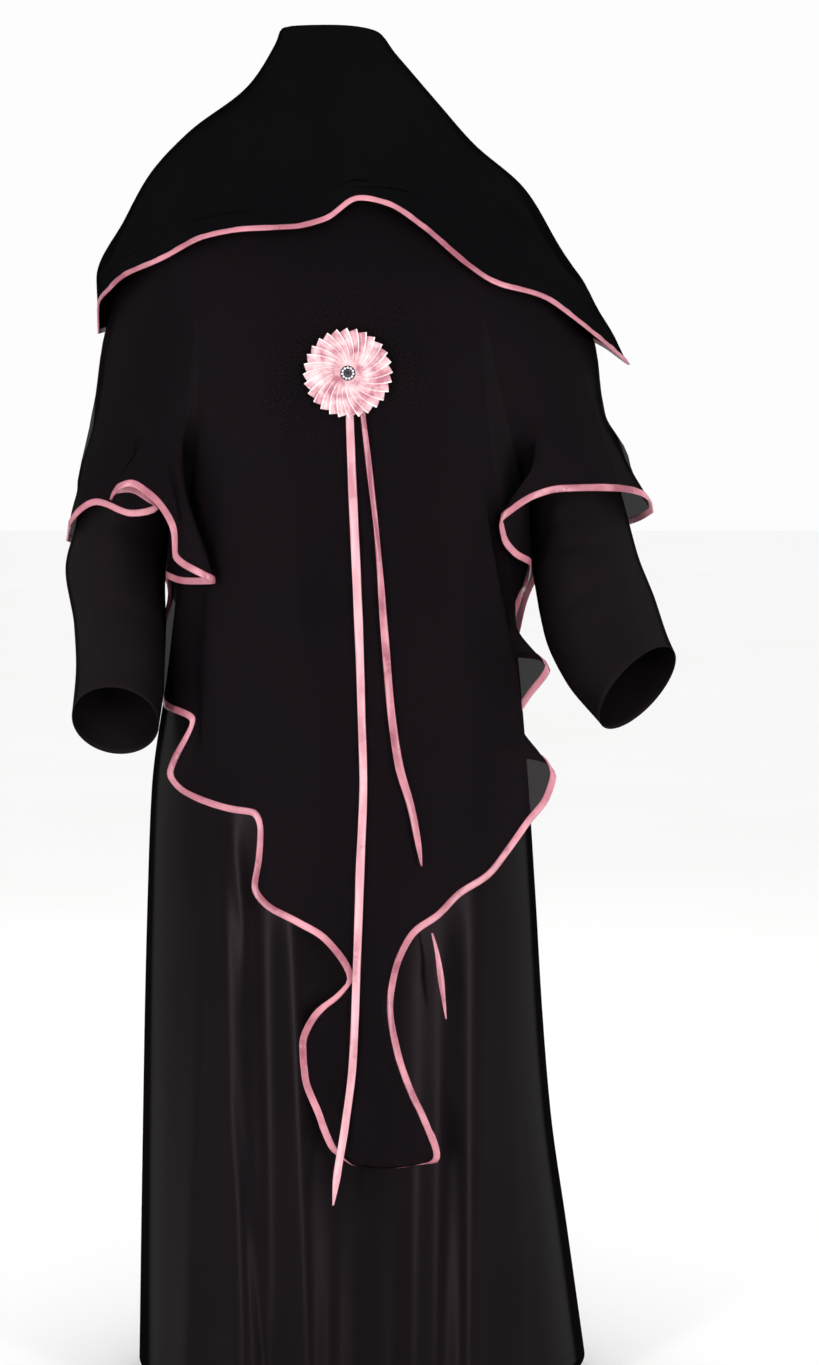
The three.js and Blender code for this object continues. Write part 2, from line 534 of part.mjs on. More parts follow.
// The plane of an armhole: a point on it and its outward normal
function armholePlane(side) {
  const tip = shoulderRows[tipRow];
  const tipX = side < 0 ? -tip.leftX : tip.rightX;
  const tipZ = side < 0 ? tip.leftZ : tip.rightZ;
  const footX = side < 0 ? -underarm.leftX : underarm.rightX;
  const along = vec(footX - tipX, 0, underarm.z - tipZ).normalize();
  return { at: vec(tipX, 0, tipZ), out: vec(-along.z * side, 0, along.x * side) };
}
function ontoPlane(p, plane, gap) {
  const off = p.clone().sub(plane.at).dot(plane.out) - gap;
  return p.clone().addScaledVector(plane.out, -off);
}

// One panel of the gown: face -1 is the front, +1 the back
function gownPanel(face, columns, folds) {
  const depthName = face < 0 ? "front" : "back";
  const heightName = face < 0 ? "frontZ" : "backZ";
  const hemZ = skirtRows[skirtRows.length - 1].z;
  const grid = gownRows.map((r) => {
    const row = [];
    for (let i = 0; i <= columns; i += 1) {
      const turn = rad(90) * ((2 * i) / columns - 1);
      const s = rounded(Math.sin(turn));
      const c = rounded(Math.cos(turn));
      const x = s * (s < 0 ? r.leftX : r.rightX);
      const z = mix(r[heightName], s < 0 ? r.leftZ : r.rightZ, Math.sin(turn) ** 2);
      const rise = foldRise(folds, x, z, hemZ) * (1 - Math.abs(s) ** 8);
      row.push(vec(x, face * (r.edge + (r[depthName] - r.edge + rise) * c + seamGap / 2), z));
    }
    return row;
  });
  const hold = (p, i, j) => {
    if (i > 0 && i < columns) return p;
    const held = p.clone();
    if (j <= tipRow || j >= underarmRow) held.y = (face * seamGap) / 2;
    if (j < tipRow || j > underarmRow) return held;
    const plane = armholePlane(i ? 1 : -1);
    return held.clone().sub(plane.at).dot(plane.out) > 0 ? ontoPlane(held, plane, 0) : held;
  };
  return wallGeometry(grid, gridNormals(grid, false), clothWall, { inward: -face, hold });
}
addPiece("body_front", gownPanel(-1, bodyColumns, skirtFrontFolds), crepeLook);
addPiece("body_back", gownPanel(1, backColumns, skirtBackFolds), crepeLook);

// A sleeve as a tube of rings; side -1 is the viewer's left
function sleeve(side, rings) {
  const plane = armholePlane(side);
  const tip = shoulderRows[tipRow];
  const top = {
    outX: side < 0 ? tip.leftX : tip.rightX,
    outZ: side < 0 ? tip.leftZ : tip.rightZ,
    inX: side < 0 ? underarm.leftX : underarm.rightX,
    inZ: underarm.z,
    y: 0,
    depth: armholeDepth,
    tip: 0,
  };
  const grid = [top, ...rings].map((r, k) => {
    const out = vec(side * r.outX, r.y, r.outZ);
    const centre = out.clone().add(vec(side * r.inX, r.y, r.inZ)).multiplyScalar(0.5);
    const across = out.clone().sub(centre);
    const forward = vec(0, -Math.cos(rad(r.tip)), Math.sin(rad(r.tip)));
    const unit = across.clone().normalize();
    forward.addScaledVector(unit, -forward.dot(unit)).normalize();
    const row = [];
    for (let i = 0; i < sleeveSpokes; i += 1) {
      const turn = (2 * Math.PI * i) / sleeveSpokes;
      const p = centre.clone().addScaledVector(across, Math.cos(turn));
      p.addScaledVector(forward, r.depth * Math.sin(turn));
      row.push(k ? p : ontoPlane(p, plane, seamGap));
    }
    return row;
  });
  const hold = (p, i, j) => (j ? p : ontoPlane(p, plane, seamGap));
  const normals = gridNormals(grid, true);
  return wallGeometry(grid, normals, clothWall, { round: true, inward: side, hold });
}
addPiece("sleeve_left", sleeve(-1, leftSleeveRings), crepeLook);
addPiece("sleeve_right", sleeve(1, rightSleeveRings), crepeLook);

// Overlay: a point of its smooth form on the thread that lies at share -1..1 of the half turn
function overlayPoint(face, share, z) {
  const turn = rad(90) * share;
  const s = rounded(Math.sin(turn));
  const wide = sample(overlayForm, "z", z, s < 0 ? "left" : "right");
  const deep = sample(overlayForm, "z", z, face < 0 ? "front" : "back");
  const x = s * wide;
  const rise = face < 0 ? foldRise(overlayFolds, x, z, 0) : 0;
  return vec(x, face * (deep + rise) * rounded(Math.cos(turn)), z);
}
// Depth of the same form at a given x
function overlayDepth(face, x, z) {
  const wide = sample(overlayForm, "z", z, x < 0 ? "left" : "right");
  const share = (2 / Math.PI) * Math.asin(Math.min(1, Math.abs(x) / wide) ** (crossPower / 2));
  return Math.abs(overlayPoint(face, Math.sign(x) * share, z).y);
}
function chestShare(x) {
  const wide = sample(overlayForm, "z", chestLine, x < 0 ? "left" : "right");
  return Math.sign(x) * (2 / Math.PI) * Math.asin(Math.min(1, Math.abs(x) / wide) ** (crossPower / 2));
}

// Smooth run of hem rows, about one station a step, keeping every row
function hemStations(rows, step) {
  const names = ["x", "y", "z", "chest", "hang", "overX", "overY", "curl"];
  const filled = rows.map((r) => {
    const over = r.z + r.hang;
    const along = clamp01((over - r.z) / (chestLine - r.z));
    const x = r.overX ?? mix(r.x, r.chest, along);
    const form = overlayDepth(Math.sign(r.y || -1), x, over);
    const y = r.overY ?? (r.y === 0 ? 0 : Math.sign(r.y) * Math.max(form, 0));
    return { curl: 0, ...r, overX: x, overY: y };
  });
  let run = 0;
  const keyed = filled.map((r, k) => {
    const b = filled[Math.max(k - 1, 0)];
    run += Math.sqrt(Math.hypot(r.x - b.x, r.y - b.y, r.z - b.z));
    return { ...r, run };
  });
  const stations = [];
  keyed.forEach((r, k) => {
    if (k === keyed.length - 1) {
      stations.push(r);
      return;
    }
    const n = keyed[k + 1];
    const wanted = Math.round(Math.hypot(n.x - r.x, n.y - r.y, n.z - r.z) / step);
    const parts = Math.max(1, Math.min(wanted, Math.round((n.chest - r.chest) / threadPitch)));
    for (let p = 0; p < parts; p += 1) {
      const at = mix(r.run, n.run, p / parts);
      stations.push(Object.fromEntries(names.map((name) => [name, sample(keyed, "run", at, name)])));
    }
  });
  return stations;
}

// A point of one thread of the overlay above the place where it starts to fall free
function formPoint(face, st, z) {
  const share = chestShare(st.chest);
  const overZ = st.z + st.hang;
  const formZ = Math.max(chestLine, overZ + 40);
  if (z >= formZ) return overlayPoint(face, share, z);
  const t = ease((formZ - z) / (formZ - overZ));
  const x = mix(overlayPoint(face, share, formZ).x, st.overX, t);
  const sunk = st.overY - face * overlayDepth(face, st.overX, overZ);
  return vec(x, face * overlayDepth(face, x, z) + sunk * t, z);
}

// The overlay's neckline height on a thread
function neckHeight(face, share) {
  const dip = face < 0 ? overlayNeckDip : overlayNeckDip / 4;
  return overlayForm[0].z - dip * Math.cos(rad(90) * share) ** 5;
}

// Points a ribbon's width inside an edge, square to it
function insideEdge(edge, above, width, round) {
  return insideDirections(edge, above, round).map((up, i) => edge[i].clone().addScaledVector(up, width));
}
// Directions from an edge towards the points above it, square to the edge
function insideDirections(edge, above, round) {
  const count = edge.length;
  return edge.map((p, i) => {
    const before = edge[round ? (i + count - 1) % count : Math.max(i - 1, 0)];
    const after = edge[round ? (i + 1) % count : Math.min(i + 1, count - 1)];
    const along = after.clone().sub(before).normalize();
    const up = above[i].clone().sub(p).normalize();
    up.addScaledVector(along, -up.dot(along));
    const turned = vec(-along.z, 0, along.x);
    return up.addScaledVector(turned, Math.max(0, 0.6 - up.length())).normalize();
  });
}

// One thread from its hem to the neck: it leaves the hem square to it, then turns up
function threadLine(face, st, inside) {
  const hem = vec(st.x, st.y, st.z);
  const over = vec(st.overX, st.overY, st.z + st.hang);
  const top = neckHeight(face, chestShare(st.chest));
  const count = Math.ceil((top - over.z) / 22);
  const upper = [];
  for (let k = 1; k <= count; k += 1) upper.push(formPoint(face, st, mix(over.z, top, k / count)));
  const far = hem.distanceTo(over);
  const reach = Math.min(0.3 * far, leaveReach);
  const lift = upper[0].clone().sub(over).normalize();
  const leave = hem.clone().addScaledVector(inside, reach);
  const arrive = over.clone().addScaledVector(lift, -0.4 * far);
  leave.y = mix(hem.y, over.y, reach / far);
  arrive.y = mix(hem.y, over.y, 0.6);
  return [...new THREE.CubicBezierCurve3(hem, leave, arrive, over).getPoints(14), ...upper];
}
// Points of a line at given lengths from its start
function alongLine(line, lengths) {
  const runs = [0];
  line.slice(1).forEach((p, k) => runs.push(runs[k] + p.distanceTo(line[k])));
  const total = runs[runs.length - 1];
  return lengths(total).map((length) => {
    let k = 0;
    while (k < line.length - 2 && runs[k + 1] < length) k += 1;
    return line[k].clone().lerp(line[k + 1], clamp01((length - runs[k]) / (runs[k + 1] - runs[k])));
  });
}
// Roll the end of a thread under, by degrees that end at the hem
function curled(points, lengths, degrees) {
  if (degrees < 1) return points;
  const full = rad(degrees);
  const radius = curlLength / full;
  const start = points[lengths.indexOf(curlLength)];
  return points.map((p, k) => {
    if (!(lengths[k] < curlLength)) return p;
    const turn = (1 - lengths[k] / curlLength) * full;
    const down = p.clone().sub(start).normalize();
    const held = start.clone().addScaledVector(down, radius * Math.sin(turn));
    held.y += radius * (1 - Math.cos(turn));
    return held;
  });
}

// The overlay panel and the ribbon on its hem
function overlayPanel(face, hemRows, step) {
  const stations = hemStations(hemRows, step);
  const last = stations.length - 1;
  const hem = stations.map((st) => vec(st.x, st.y, st.z));
  const over = stations.map((st) => vec(st.overX, st.overY, st.z + st.hang));
  const square = insideDirections(hem, over, false);
  const low = [0, ribbonWidth, ribbonWidth + seamGap, ...lowRows];
  const lengths = (total) => [
    ...low,
    ...highShares.map((share) => mix(total, low[low.length - 1], share)),
  ];
  const columns = stations.map((st, i) => {
    const inside = square[i].clone().multiplyScalar(2);
    inside.add(square[Math.max(i - 1, 0)]).add(square[Math.min(i + 1, last)]).normalize();
    return curled(alongLine(threadLine(face, st, inside), lengths), low, st.curl);
  });
  const grid = columns[0].map((_, k) => columns.map((column) => column[k])).reverse();
  const cut = grid.length - 2;
  for (let pass = 0; pass < softening; pass += 1)
    for (let j = 0; j < highShares.length; j += 1) {
      const row = grid[j].map((p) => p.clone());
      for (let i = 1; i < last; i += 1)
        grid[j][i].multiplyScalar(2).add(row[i - 1]).add(row[i + 1]).multiplyScalar(0.25);
    }
  const normals = seamNormals(softNormals(gridNormals(grid, false)), cut);
  const hold = (p, i) => {
    if (i > 0 && i < last) return p;
    const held = p.clone();
    held.y = (face * seamGap) / 2;
    return held;
  };
  const options = { inward: -face, hold };
  const cloth = wallGeometry(grid.slice(0, cut), normals.slice(0, cut), overlayWall, options);
  const edge = [grid.slice(cut), normals.slice(cut)];
  const trim = wallGeometry(...edge, ribbonWall, { ...options, proud: ribbonProud });
  const room = { ...options, proud: ribbonProud + seamGap };
  const clear = wallGeometry(...edge, ribbonWall + 2 * seamGap, room);
  return { cloth: geometryOf(solidOf(cloth).subtract(solidOf(clear))), trim };
}
const overlayFront = overlayPanel(-1, overlayHem, hemStep);
const overlayBack = overlayPanel(1, overlayBackHem, backHemStep);
addPiece("overlay_front", overlayFront.cloth, chiffonLook);
addPiece("overlay_back", overlayBack.cloth, chiffonLook);
addPiece("overlay_front_ribbon", overlayFront.trim, ribbonLook);
addPiece("overlay_back_ribbon", overlayBack.trim, ribbonLook);

// Keep a point of the veil outside the overlay by the given lift
function clearOverlay(p, lift) {
  const wide = sample(overlayForm, "z", p.z, p.x < 0 ? "left" : "right");
  if (p.z > 0 || Math.abs(p.x) > wide - 2) return p;
  const face = p.y < 0 ? -1 : 1;
  const floor = overlayDepth(face, p.x, p.z) + lift;
  return vec(p.x, face * Math.max(Math.abs(p.y), floor), p.z);
}
function veilSurface() {
  const pole = vec(-16, 0, 114);
  const stations = [...Array(veilSpokes).keys()].map((i) => {
    const turn = -92 + (360 * i) / veilSpokes;
    const s = rounded(Math.sin(rad(turn)));
    const c = rounded(Math.cos(rad(turn)));
    const column = veilStations.map((r) => {
      const middle = (r.left + r.right) / 2;
      const half = (r.right - r.left) / 2;
      const sideZ = s < 0 ? r.leftZ : r.rightZ;
      const faceZ = c > 0 ? r.frontZ : r.backZ;
      const p = vec(middle + half * s, -c * (c > 0 ? r.front : r.back), 0);
      p.z = mix(sideZ, faceZ, Math.cos(rad(turn)) ** 2);
      return clearOverlay(p, veilLift);
    });
    const around = [...veilEdge, { ...veilEdge[0], turn: veilEdge[0].turn + 360 }];
    const [x, y, z] = ["x", "y", "z"].map((name) => sample(around, "turn", turn, name));
    return { column, edge: clearOverlay(vec(x, y, z), veilLift) };
  });
  const edge = stations.map((st) => st.edge);
  const near = stations.map((st) => st.column[veilStations.length - 1]);
  const grid = [stations.map(() => pole.clone())];
  veilStations.forEach((_, k) => grid.push(stations.map((st) => st.column[k])));
  grid.push(insideEdge(edge, near, ribbonWidth + seamGap, true));
  grid.push(insideEdge(edge, near, ribbonWidth, true));
  grid.push(edge);
  return grid;
}
const veilGrid = veilSurface();
const veilCut = veilGrid.length - 2;
const veilNormals = seamNormals(gridNormals(veilGrid, true), veilCut);
veilNormals[0].forEach((n) => n.set(0, 0, -1));
const veilOptions = { round: true, inward: 1 };
const veilTrimOptions = { ...veilOptions, proud: ribbonProud };
const veilCloth = wallGeometry(veilGrid.slice(0, veilCut), veilNormals.slice(0, veilCut), overlayWall, veilOptions);
const veilTrim = wallGeometry(veilGrid.slice(veilCut), veilNormals.slice(veilCut), ribbonWall, veilTrimOptions);
addPiece("veil", veilCloth, veilLook);
addPiece("veil_ribbon", veilTrim, ribbonLook);

// A hanging ribbon that follows the overlay's front at a small lift
function hangingRibbon(rows, step, lift) {
  const top = rows[0].z;
  const foot = rows[rows.length - 1].z;
  const count = Math.ceil((top - foot) / step);
  const grid = [];
  for (let k = 0; k <= count; k += 1) {
    const z = mix(top, foot, k / count);
    const x = sample(rows, "z", z, "x");
    const half = sample(rows, "z", z, "width") / 2;
    const y = -overlayDepth(-1, x, z) - lift(z);
    grid.push([vec(x - half, y, z), vec(x + half, y, z)]);
  }
  return wallGeometry(grid, gridNormals(grid, false), tailRibbonWall, { inward: 1 });
}
addPiece("ribbon_tail_long", hangingRibbon(longTail, 45, () => tailLift + 1), ribbonLook);
addPiece("ribbon_tail_short", hangingRibbon(shortTail, 40, () => tailLift + 1), ribbonLook);
addPiece("hem_ribbon_end", hangingRibbon(looseEnd, 20, () => -6), ribbonLook);

// Rosette: pleats lie over one another like the blades of a fan, swirled towards the middle
function rosette() {
  const rings = [
    { radius: rosetteBore, swirl: 26, low: 3.4, step: 0.8 },
    { radius: 20, swirl: 17, low: 3, step: 2 },
    { radius: 36, swirl: 8, low: 2.4, step: 2.8 },
    { radius: rosetteRadius, swirl: 0, low: 1.6, step: 3 },
  ];
  const points = [];
  const stations = rosettePleats * 2;
  const pitch = 360 / rosettePleats;
  const put = (radius, angle, height) =>
    points.push(vec(radius * Math.sin(rad(angle)), -height, radius * Math.cos(rad(angle)))) - 1;
  const front = rings.map((r, k) =>
    [...Array(stations).keys()].map((i) => {
      const high = i % 2;
      const angle = Math.floor(i / 2) * pitch + high * (pitch - 1.1) + r.swirl;
      const rim = k === rings.length - 1 ? (high ? 0 : -3.5) : 0;
      return put(r.radius + rim, angle, r.low + high * r.step);
    }),
  );
  const back = rings.map((r) =>
    [...Array(stations).keys()].map((i) => put(r.radius - (r.radius > 50 ? 4 : 0), (i * 360) / stations + r.swirl, 0)),
  );
  const faces = [];
  const last = rings.length - 1;
  for (let i = 0; i < stations; i += 1) {
    const n = (i + 1) % stations;
    const quad = (a, b, c, d) => faces.push(a, b, c, a, c, d);
    for (let k = 0; k < last; k += 1) quad(front[k][i], front[k][n], front[k + 1][n], front[k + 1][i]);
    quad(front[last][i], front[last][n], back[last][n], back[last][i]);
    quad(back[last][i], back[last][n], back[0][n], back[0][i]);
    quad(back[0][i], back[0][n], front[0][n], front[0][i]);
  }
  return facing(points, faces);
}
const rosetteBack = -overlayDepth(-1, rosetteAt.x, rosetteAt.z) - 8;
const rosetteGeometry = rosette();
rosetteGeometry.translate(rosetteAt.x, rosetteBack, rosetteAt.z);
addPiece("rosette", rosetteGeometry, rosetteLook);

// Crystal button in the rosette's middle: a faceted dome on a straight setting
const crystalProfile = [
  [0, 1],
  [crystalRadius, 1],
  [crystalRadius, 5],
  [crystalRadius - 1.6, 6.6],
  [crystalRadius - 4, 8],
  [0, 8.6],
  [0, 1],
].map(([radius, height]) => new THREE.Vector2(radius, height));
const crystalGeometry = new THREE.LatheGeometry(crystalProfile, 12);
crystalGeometry.rotateX(Math.PI);
crystalGeometry.translate(rosetteAt.x, rosetteBack, rosetteAt.z);
addPiece("crystal_button", crystalGeometry, crystalLook);

export default garment;
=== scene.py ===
import math

import bpy
import numpy as np
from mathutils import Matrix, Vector


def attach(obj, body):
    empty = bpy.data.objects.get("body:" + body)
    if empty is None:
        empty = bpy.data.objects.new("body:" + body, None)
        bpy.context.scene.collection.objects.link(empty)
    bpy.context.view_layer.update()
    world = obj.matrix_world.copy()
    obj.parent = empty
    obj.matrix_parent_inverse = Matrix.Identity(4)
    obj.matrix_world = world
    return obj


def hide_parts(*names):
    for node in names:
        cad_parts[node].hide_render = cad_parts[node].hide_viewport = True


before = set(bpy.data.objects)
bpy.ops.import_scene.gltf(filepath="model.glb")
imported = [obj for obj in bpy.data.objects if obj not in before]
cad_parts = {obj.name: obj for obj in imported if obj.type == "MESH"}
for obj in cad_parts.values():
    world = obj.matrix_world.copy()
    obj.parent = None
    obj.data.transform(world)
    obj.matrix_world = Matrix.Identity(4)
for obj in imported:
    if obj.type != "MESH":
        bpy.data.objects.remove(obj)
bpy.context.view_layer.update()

# Every size below is in millimetres, and meshes are turned to metres as they are made
mm = 0.001
print("stage: solids loaded")

viewpoint = {"place": (78, -3750, -350), "aim": (78, -150, -647), "lens": 82.8, "sensor": 36}


def addObject(name, data):
    item = bpy.data.objects.new(name, data)
    bpy.context.collection.objects.link(item)
    return item


def aimAt(item, place, aim):
    item.location = Vector(place) * mm
    item.rotation_mode = "QUATERNION"
    item.rotation_quaternion = (Vector(aim) * mm - item.location).to_track_quat("-Z", "Y")


def makeCamera(view):
    data = bpy.data.cameras.new("camera")
    data.lens = view["lens"]
    data.sensor_width = view["sensor"]
    camera = addObject("camera", data)
    aimAt(camera, view["place"], view["aim"])
    bpy.context.scene.camera = camera


makeCamera(viewpoint)
print("stage: camera")


# Number helpers
def mix(a, b, t):
    return a + (b - a) * t


def ease(t):
    t = np.clip(t, 0, 1)
    return t * t * (3 - 2 * t)


fullness = 2.3  # of a section, where 2 is a circle: cloth over a figure is a little squarer


def rounded(c):
    return np.sign(c) * np.abs(c) ** (2 / fullness)


def table(names, rows):  # columns by name; a missing value is nan
    names = names.split()
    filled = [tuple(row) + (None,) * (len(names) - len(row)) for row in rows]
    return {name: np.array([row[k] for row in filled], float) for k, name in enumerate(names)}


def rowsOf(columns):
    return [dict(zip(columns, values)) for values in zip(*columns.values())]


def sample(rows, key, at, name):  # smooth between rows, and level where a column turns
    order = slice(None) if rows[key][-1] > rows[key][0] else slice(None, None, -1)
    keys, values = rows[key][order], rows[name][order]
    slopes = np.diff(values) / np.diff(keys)
    product, total = slopes[:-1] * slopes[1:], slopes[:-1] + slopes[1:]
    inner = np.where(product > 0, 2 * product / np.where(total == 0, 1, total), 0)
    bends = np.concatenate([slopes[:1], inner, slopes[-1:]])
    k = np.clip(np.searchsorted(keys, at) - 1, 0, len(keys) - 2)
    span = keys[k + 1] - keys[k]
    t = np.clip((at - keys[k]) / span, 0, 1)
    start = values[k] * (1 + 2 * t) * (1 - t) ** 2 + bends[k] * span * t * (1 - t) ** 2
    return start + values[k + 1] * t * t * (3 - 2 * t) + bends[k + 1] * span * t * t * (t - 1)


foldSizes = {"startEarly": 60, "stopEarly": 120, "band": 160, "topShare": 0.45}


def foldRise(folds, x, z, foot):  # how far a set of folds stands out; one without footZ runs on to the foot
    sizes = foldSizes
    rise = 0 * (x + z)
    for f in rowsOf(folds):
        ends = not math.isnan(f["footZ"])
        down = np.clip((f["topZ"] - z) / (f["topZ"] - (f["footZ"] if ends else foot)), 0, 1)
        off = (x - mix(f["topX"], f["footX"], down)) / f["width"]
        start = ease((f["topZ"] + sizes["startEarly"] - z) / sizes["band"])
        if ends:
            stop = ease((z - f["footZ"] + sizes["stopEarly"]) / sizes["band"])
        else:
            stop = sizes["topShare"] + (1 - sizes["topShare"]) * down
        rise = rise + f["rise"] * start * stop * np.exp(-off * off)
    return rise


def unit(v):
    return v / np.maximum(np.linalg.norm(v, axis=-1, keepdims=True), 1e-9)


def smoothSideways(grid, passes, around=False):  # grid[row, column]
    grid = grid.copy()
    for _ in range(passes):
        if around:
            grid = (2 * grid + np.roll(grid, 1, 1) + np.roll(grid, -1, 1)) / 4
        else:
            grid[:, 1:-1] = (2 * grid[:, 1:-1] + grid[:, :-2] + grid[:, 2:]) / 4
    return grid


def gridNormals(grid, around=False):  # across x down
    if around:
        grid = np.concatenate([grid[:, -1:], grid, grid[:, :1]], 1)
    fall = grid[1:, 1:] - grid[:-1, :-1]
    back = grid[1:, :-1] - grid[:-1, 1:]
    area = np.cross(fall, back)
    normals = np.zeros(grid.shape)
    for rows in (slice(0, -1), slice(1, None)):
        for columns in (slice(0, -1), slice(1, None)):
            normals[rows, columns] += area
    return unit(normals[:, 1:-1] if around else normals)


def lengthsAlong(points):
    steps = np.linalg.norm(np.diff(points, axis=0), axis=-1)
    return np.concatenate([[0], np.cumsum(steps)])


def alongLine(line, lengths, values=None):  # the line's points at some lengths, or values that it carries
    runs = lengthsAlong(line)
    columns = (line if values is None else values).T
    return np.stack([np.interp(lengths, runs, column) for column in columns], -1)


# Materials
def linear(hexColour, alpha=1.0):
    values = [int(hexColour[k : k + 2], 16) / 255 for k in (1, 3, 5)]
    return tuple(v / 12.92 if v <= 0.04045 else ((v + 0.055) / 1.055) ** 2.4 for v in values) + (alpha,)


def addNode(tree, kind, settings=None, links=None):
    node = tree.nodes.new(kind)
    for name, value in (settings or {}).items():
        if isinstance(name, int) or name in node.inputs:
            node.inputs[name].default_value = value
        else:
            setattr(node, name, value)
    for name, source in (links or {}).items():
        tree.links.new(source, node.inputs[name])
    return node


def addRamp(tree, source, *stops):  # two colours, each with the place where it starts
    node = addNode(tree, "ShaderNodeValToRGB", None, {"Fac": source})
    for element, (place, colour) in zip(node.color_ramp.elements, stops):
        element.position = place
        element.color = linear(colour)
    return node.outputs["Color"]


def addNoise(tree, size, detail, roughness=0.5):  # size in millimetres
    spot = addNode(tree, "ShaderNodeTexCoord").outputs["Object"]
    return addNode(tree, "ShaderNodeTexNoise", {
        "Scale": 1 / (size * mm), "Detail": detail, "Roughness": roughness,
    }, {"Vector": spot}).outputs["Fac"]


def addRange(tree, source, fromMin, fromMax, toMin, toMax):
    return addNode(tree, "ShaderNodeMapRange", {
        "From Min": fromMin, "From Max": fromMax, "To Min": toMin, "To Max": toMax,
    }, {"Value": source}).outputs["Result"]


def addBump(tree, height, strength, depth, links=None):
    return addNode(tree, "ShaderNodeBump", {"Strength": strength, "Distance": depth * mm},
                   {"Height": height, **(links or {})}).outputs["Normal"]


def newMaterial(name):
    material = bpy.data.materials.new(name)
    material.use_nodes = True
    tree = material.node_tree
    tree.nodes.clear()
    return material, tree


def addSurface(tree, settings, links):
    surface = addNode(tree, "ShaderNodeBsdfPrincipled", settings, links)
    addNode(tree, "ShaderNodeOutputMaterial", None, {"Surface": surface.outputs["BSDF"]})


waveUnit = 0.314  # a wave texture of scale 1 repeats every 0.314 m


def addThreads(tree, direction, pitch, crooked):  # waves over the cloth's own map, in metres of cloth
    return addNode(tree, "ShaderNodeTexWave", {
        "bands_direction": direction, "Scale": waveUnit / (pitch * mm), "Distortion": crooked,
        "Detail": 2.0, "Detail Scale": 2.0,
    }, {"Vector": addNode(tree, "ShaderNodeTexCoord").outputs["UV"]}).outputs["Fac"]


# What most of the cloths share
wovenDefaults = {"ior": 1.46, "patchy": 0.2, "sheen": 0.001, "sheenRoughness": 0.3, "anisotropic": 0.0,
                 "alpha": 1.0, "edgeShare": 1.0}


def wovenMaterial(name, facts):
    cloth = {**wovenDefaults, **facts}
    material, tree = newMaterial(name)
    warp = addThreads(tree, "X", cloth["warpPitch"], cloth["crooked"])
    weft = addThreads(tree, "Y", cloth["weftPitch"], cloth["crooked"])
    weave = addNode(tree, "ShaderNodeMath", {"operation": "MULTIPLY"}, {0: warp, 1: weft}).outputs[0]
    cloud = addNoise(tree, cloth["cloudSize"], 4.0, 0.55)
    slub = addNoise(tree, cloth["slubSize"], 3.0, 0.6)
    fine = addBump(tree, weave, cloth["weaveStrength"], cloth["weaveDepth"])
    soft = addBump(tree, slub, cloth["slubStrength"], cloth["slubDepth"], {"Normal": fine})
    # yarns shade one another at a glancing view, so the outline doesn't shine
    glance = addNode(tree, "ShaderNodeLayerWeight", {"Blend": 0.5}, {"Normal": soft}).outputs["Facing"]
    addSurface(tree, {
        "IOR": cloth["ior"], "Sheen Weight": cloth["sheen"], "Sheen Roughness": cloth["sheenRoughness"],
        "Sheen Tint": linear(cloth["sheenColour"]), "Anisotropic": cloth["anisotropic"], "Alpha": cloth["alpha"],
    }, {
        "Base Color": addRamp(tree, cloud, (0.5 - cloth["patchy"], cloth["dark"]),
                              (0.5 + cloth["patchy"], cloth["light"])),
        "Roughness": addRange(tree, cloud, 0.3, 0.7, cloth["roughLow"], cloth["roughHigh"]),
        "Specular Tint": addRamp(tree, glance, (0.3, cloth["gloss"]), (0.7, cloth["edgeGloss"])),
        "Specular IOR Level": addRange(tree, glance, 0.34, 0.68, cloth["specular"],
                                       cloth["specular"] * cloth["edgeShare"]),
        "Normal": soft,
    })
    return material


# Crepe-back satin in black polyester: dull twisted yarn behind, long floats in front that give soft
# streaks down each fold. Real threads are 0.3 mm apart; they are drawn as coarse as they need to show.
crepeBackSatin = {
    "dark": "#080607", "light": "#0c090b", "warpPitch": 1.4, "weftPitch": 2.2, "crooked": 0.6,
    "cloudSize": 180, "slubSize": 14, "roughLow": 0.27, "roughHigh": 0.33,
    "weaveStrength": 0.1, "weaveDepth": 0.25, "slubStrength": 0.10, "slubDepth": 0.5,
    "specular": 0.09, "sheenRoughness": 0.4, "sheenColour": "#8f8088",
    "anisotropic": 0.35, "gloss": "#ffe2f0", "edgeGloss": "#362e32", "edgeShare": 0.0,
}
# The same cloth with its dull crepe side out, as the sleeves are made: darker, with hardly a streak
crepeDullSide = dict(crepeBackSatin, dark="#100c0e", light="#151113", roughLow=0.5, roughHigh=0.6,
                     specular=0.06, anisotropic=0.0)
# Silk-look georgette: fine crinkled yarn, slightly open, so pale things behind it show as grey
sheerGeorgette = {
    "dark": "#0a0709", "light": "#100b0e", "warpPitch": 1.6, "weftPitch": 1.6, "crooked": 1.6,
    "cloudSize": 150, "slubSize": 9, "roughLow": 0.52, "roughHigh": 0.64,
    "weaveStrength": 0.06, "weaveDepth": 0.2, "slubStrength": 0.06, "slubDepth": 0.4,
    "specular": 0.06, "sheenRoughness": 0.5, "sheenColour": "#8a7880",
    "alpha": 0.80, "gloss": "#ffe2f0", "edgeGloss": "#4a4046", "edgeShare": 0.0,
}
# Nida, the brushed matte cloth of veils: it swallows light, with a thin cool bloom at its edges
mattNida = {
    "dark": "#060607", "light": "#0a0a0b", "warpPitch": 1.8, "weftPitch": 1.8, "crooked": 1.2,
    "cloudSize": 200, "slubSize": 11, "roughLow": 0.74, "roughHigh": 0.86,
    "weaveStrength": 0.12, "weaveDepth": 0.3, "slubStrength": 0.10, "slubDepth": 0.6,
    "specular": 0.03, "sheenRoughness": 0.45, "sheenColour": "#7d8290",
    "gloss": "#eef0ff", "edgeGloss": "#5a5c66", "edgeShare": 0.0,
}
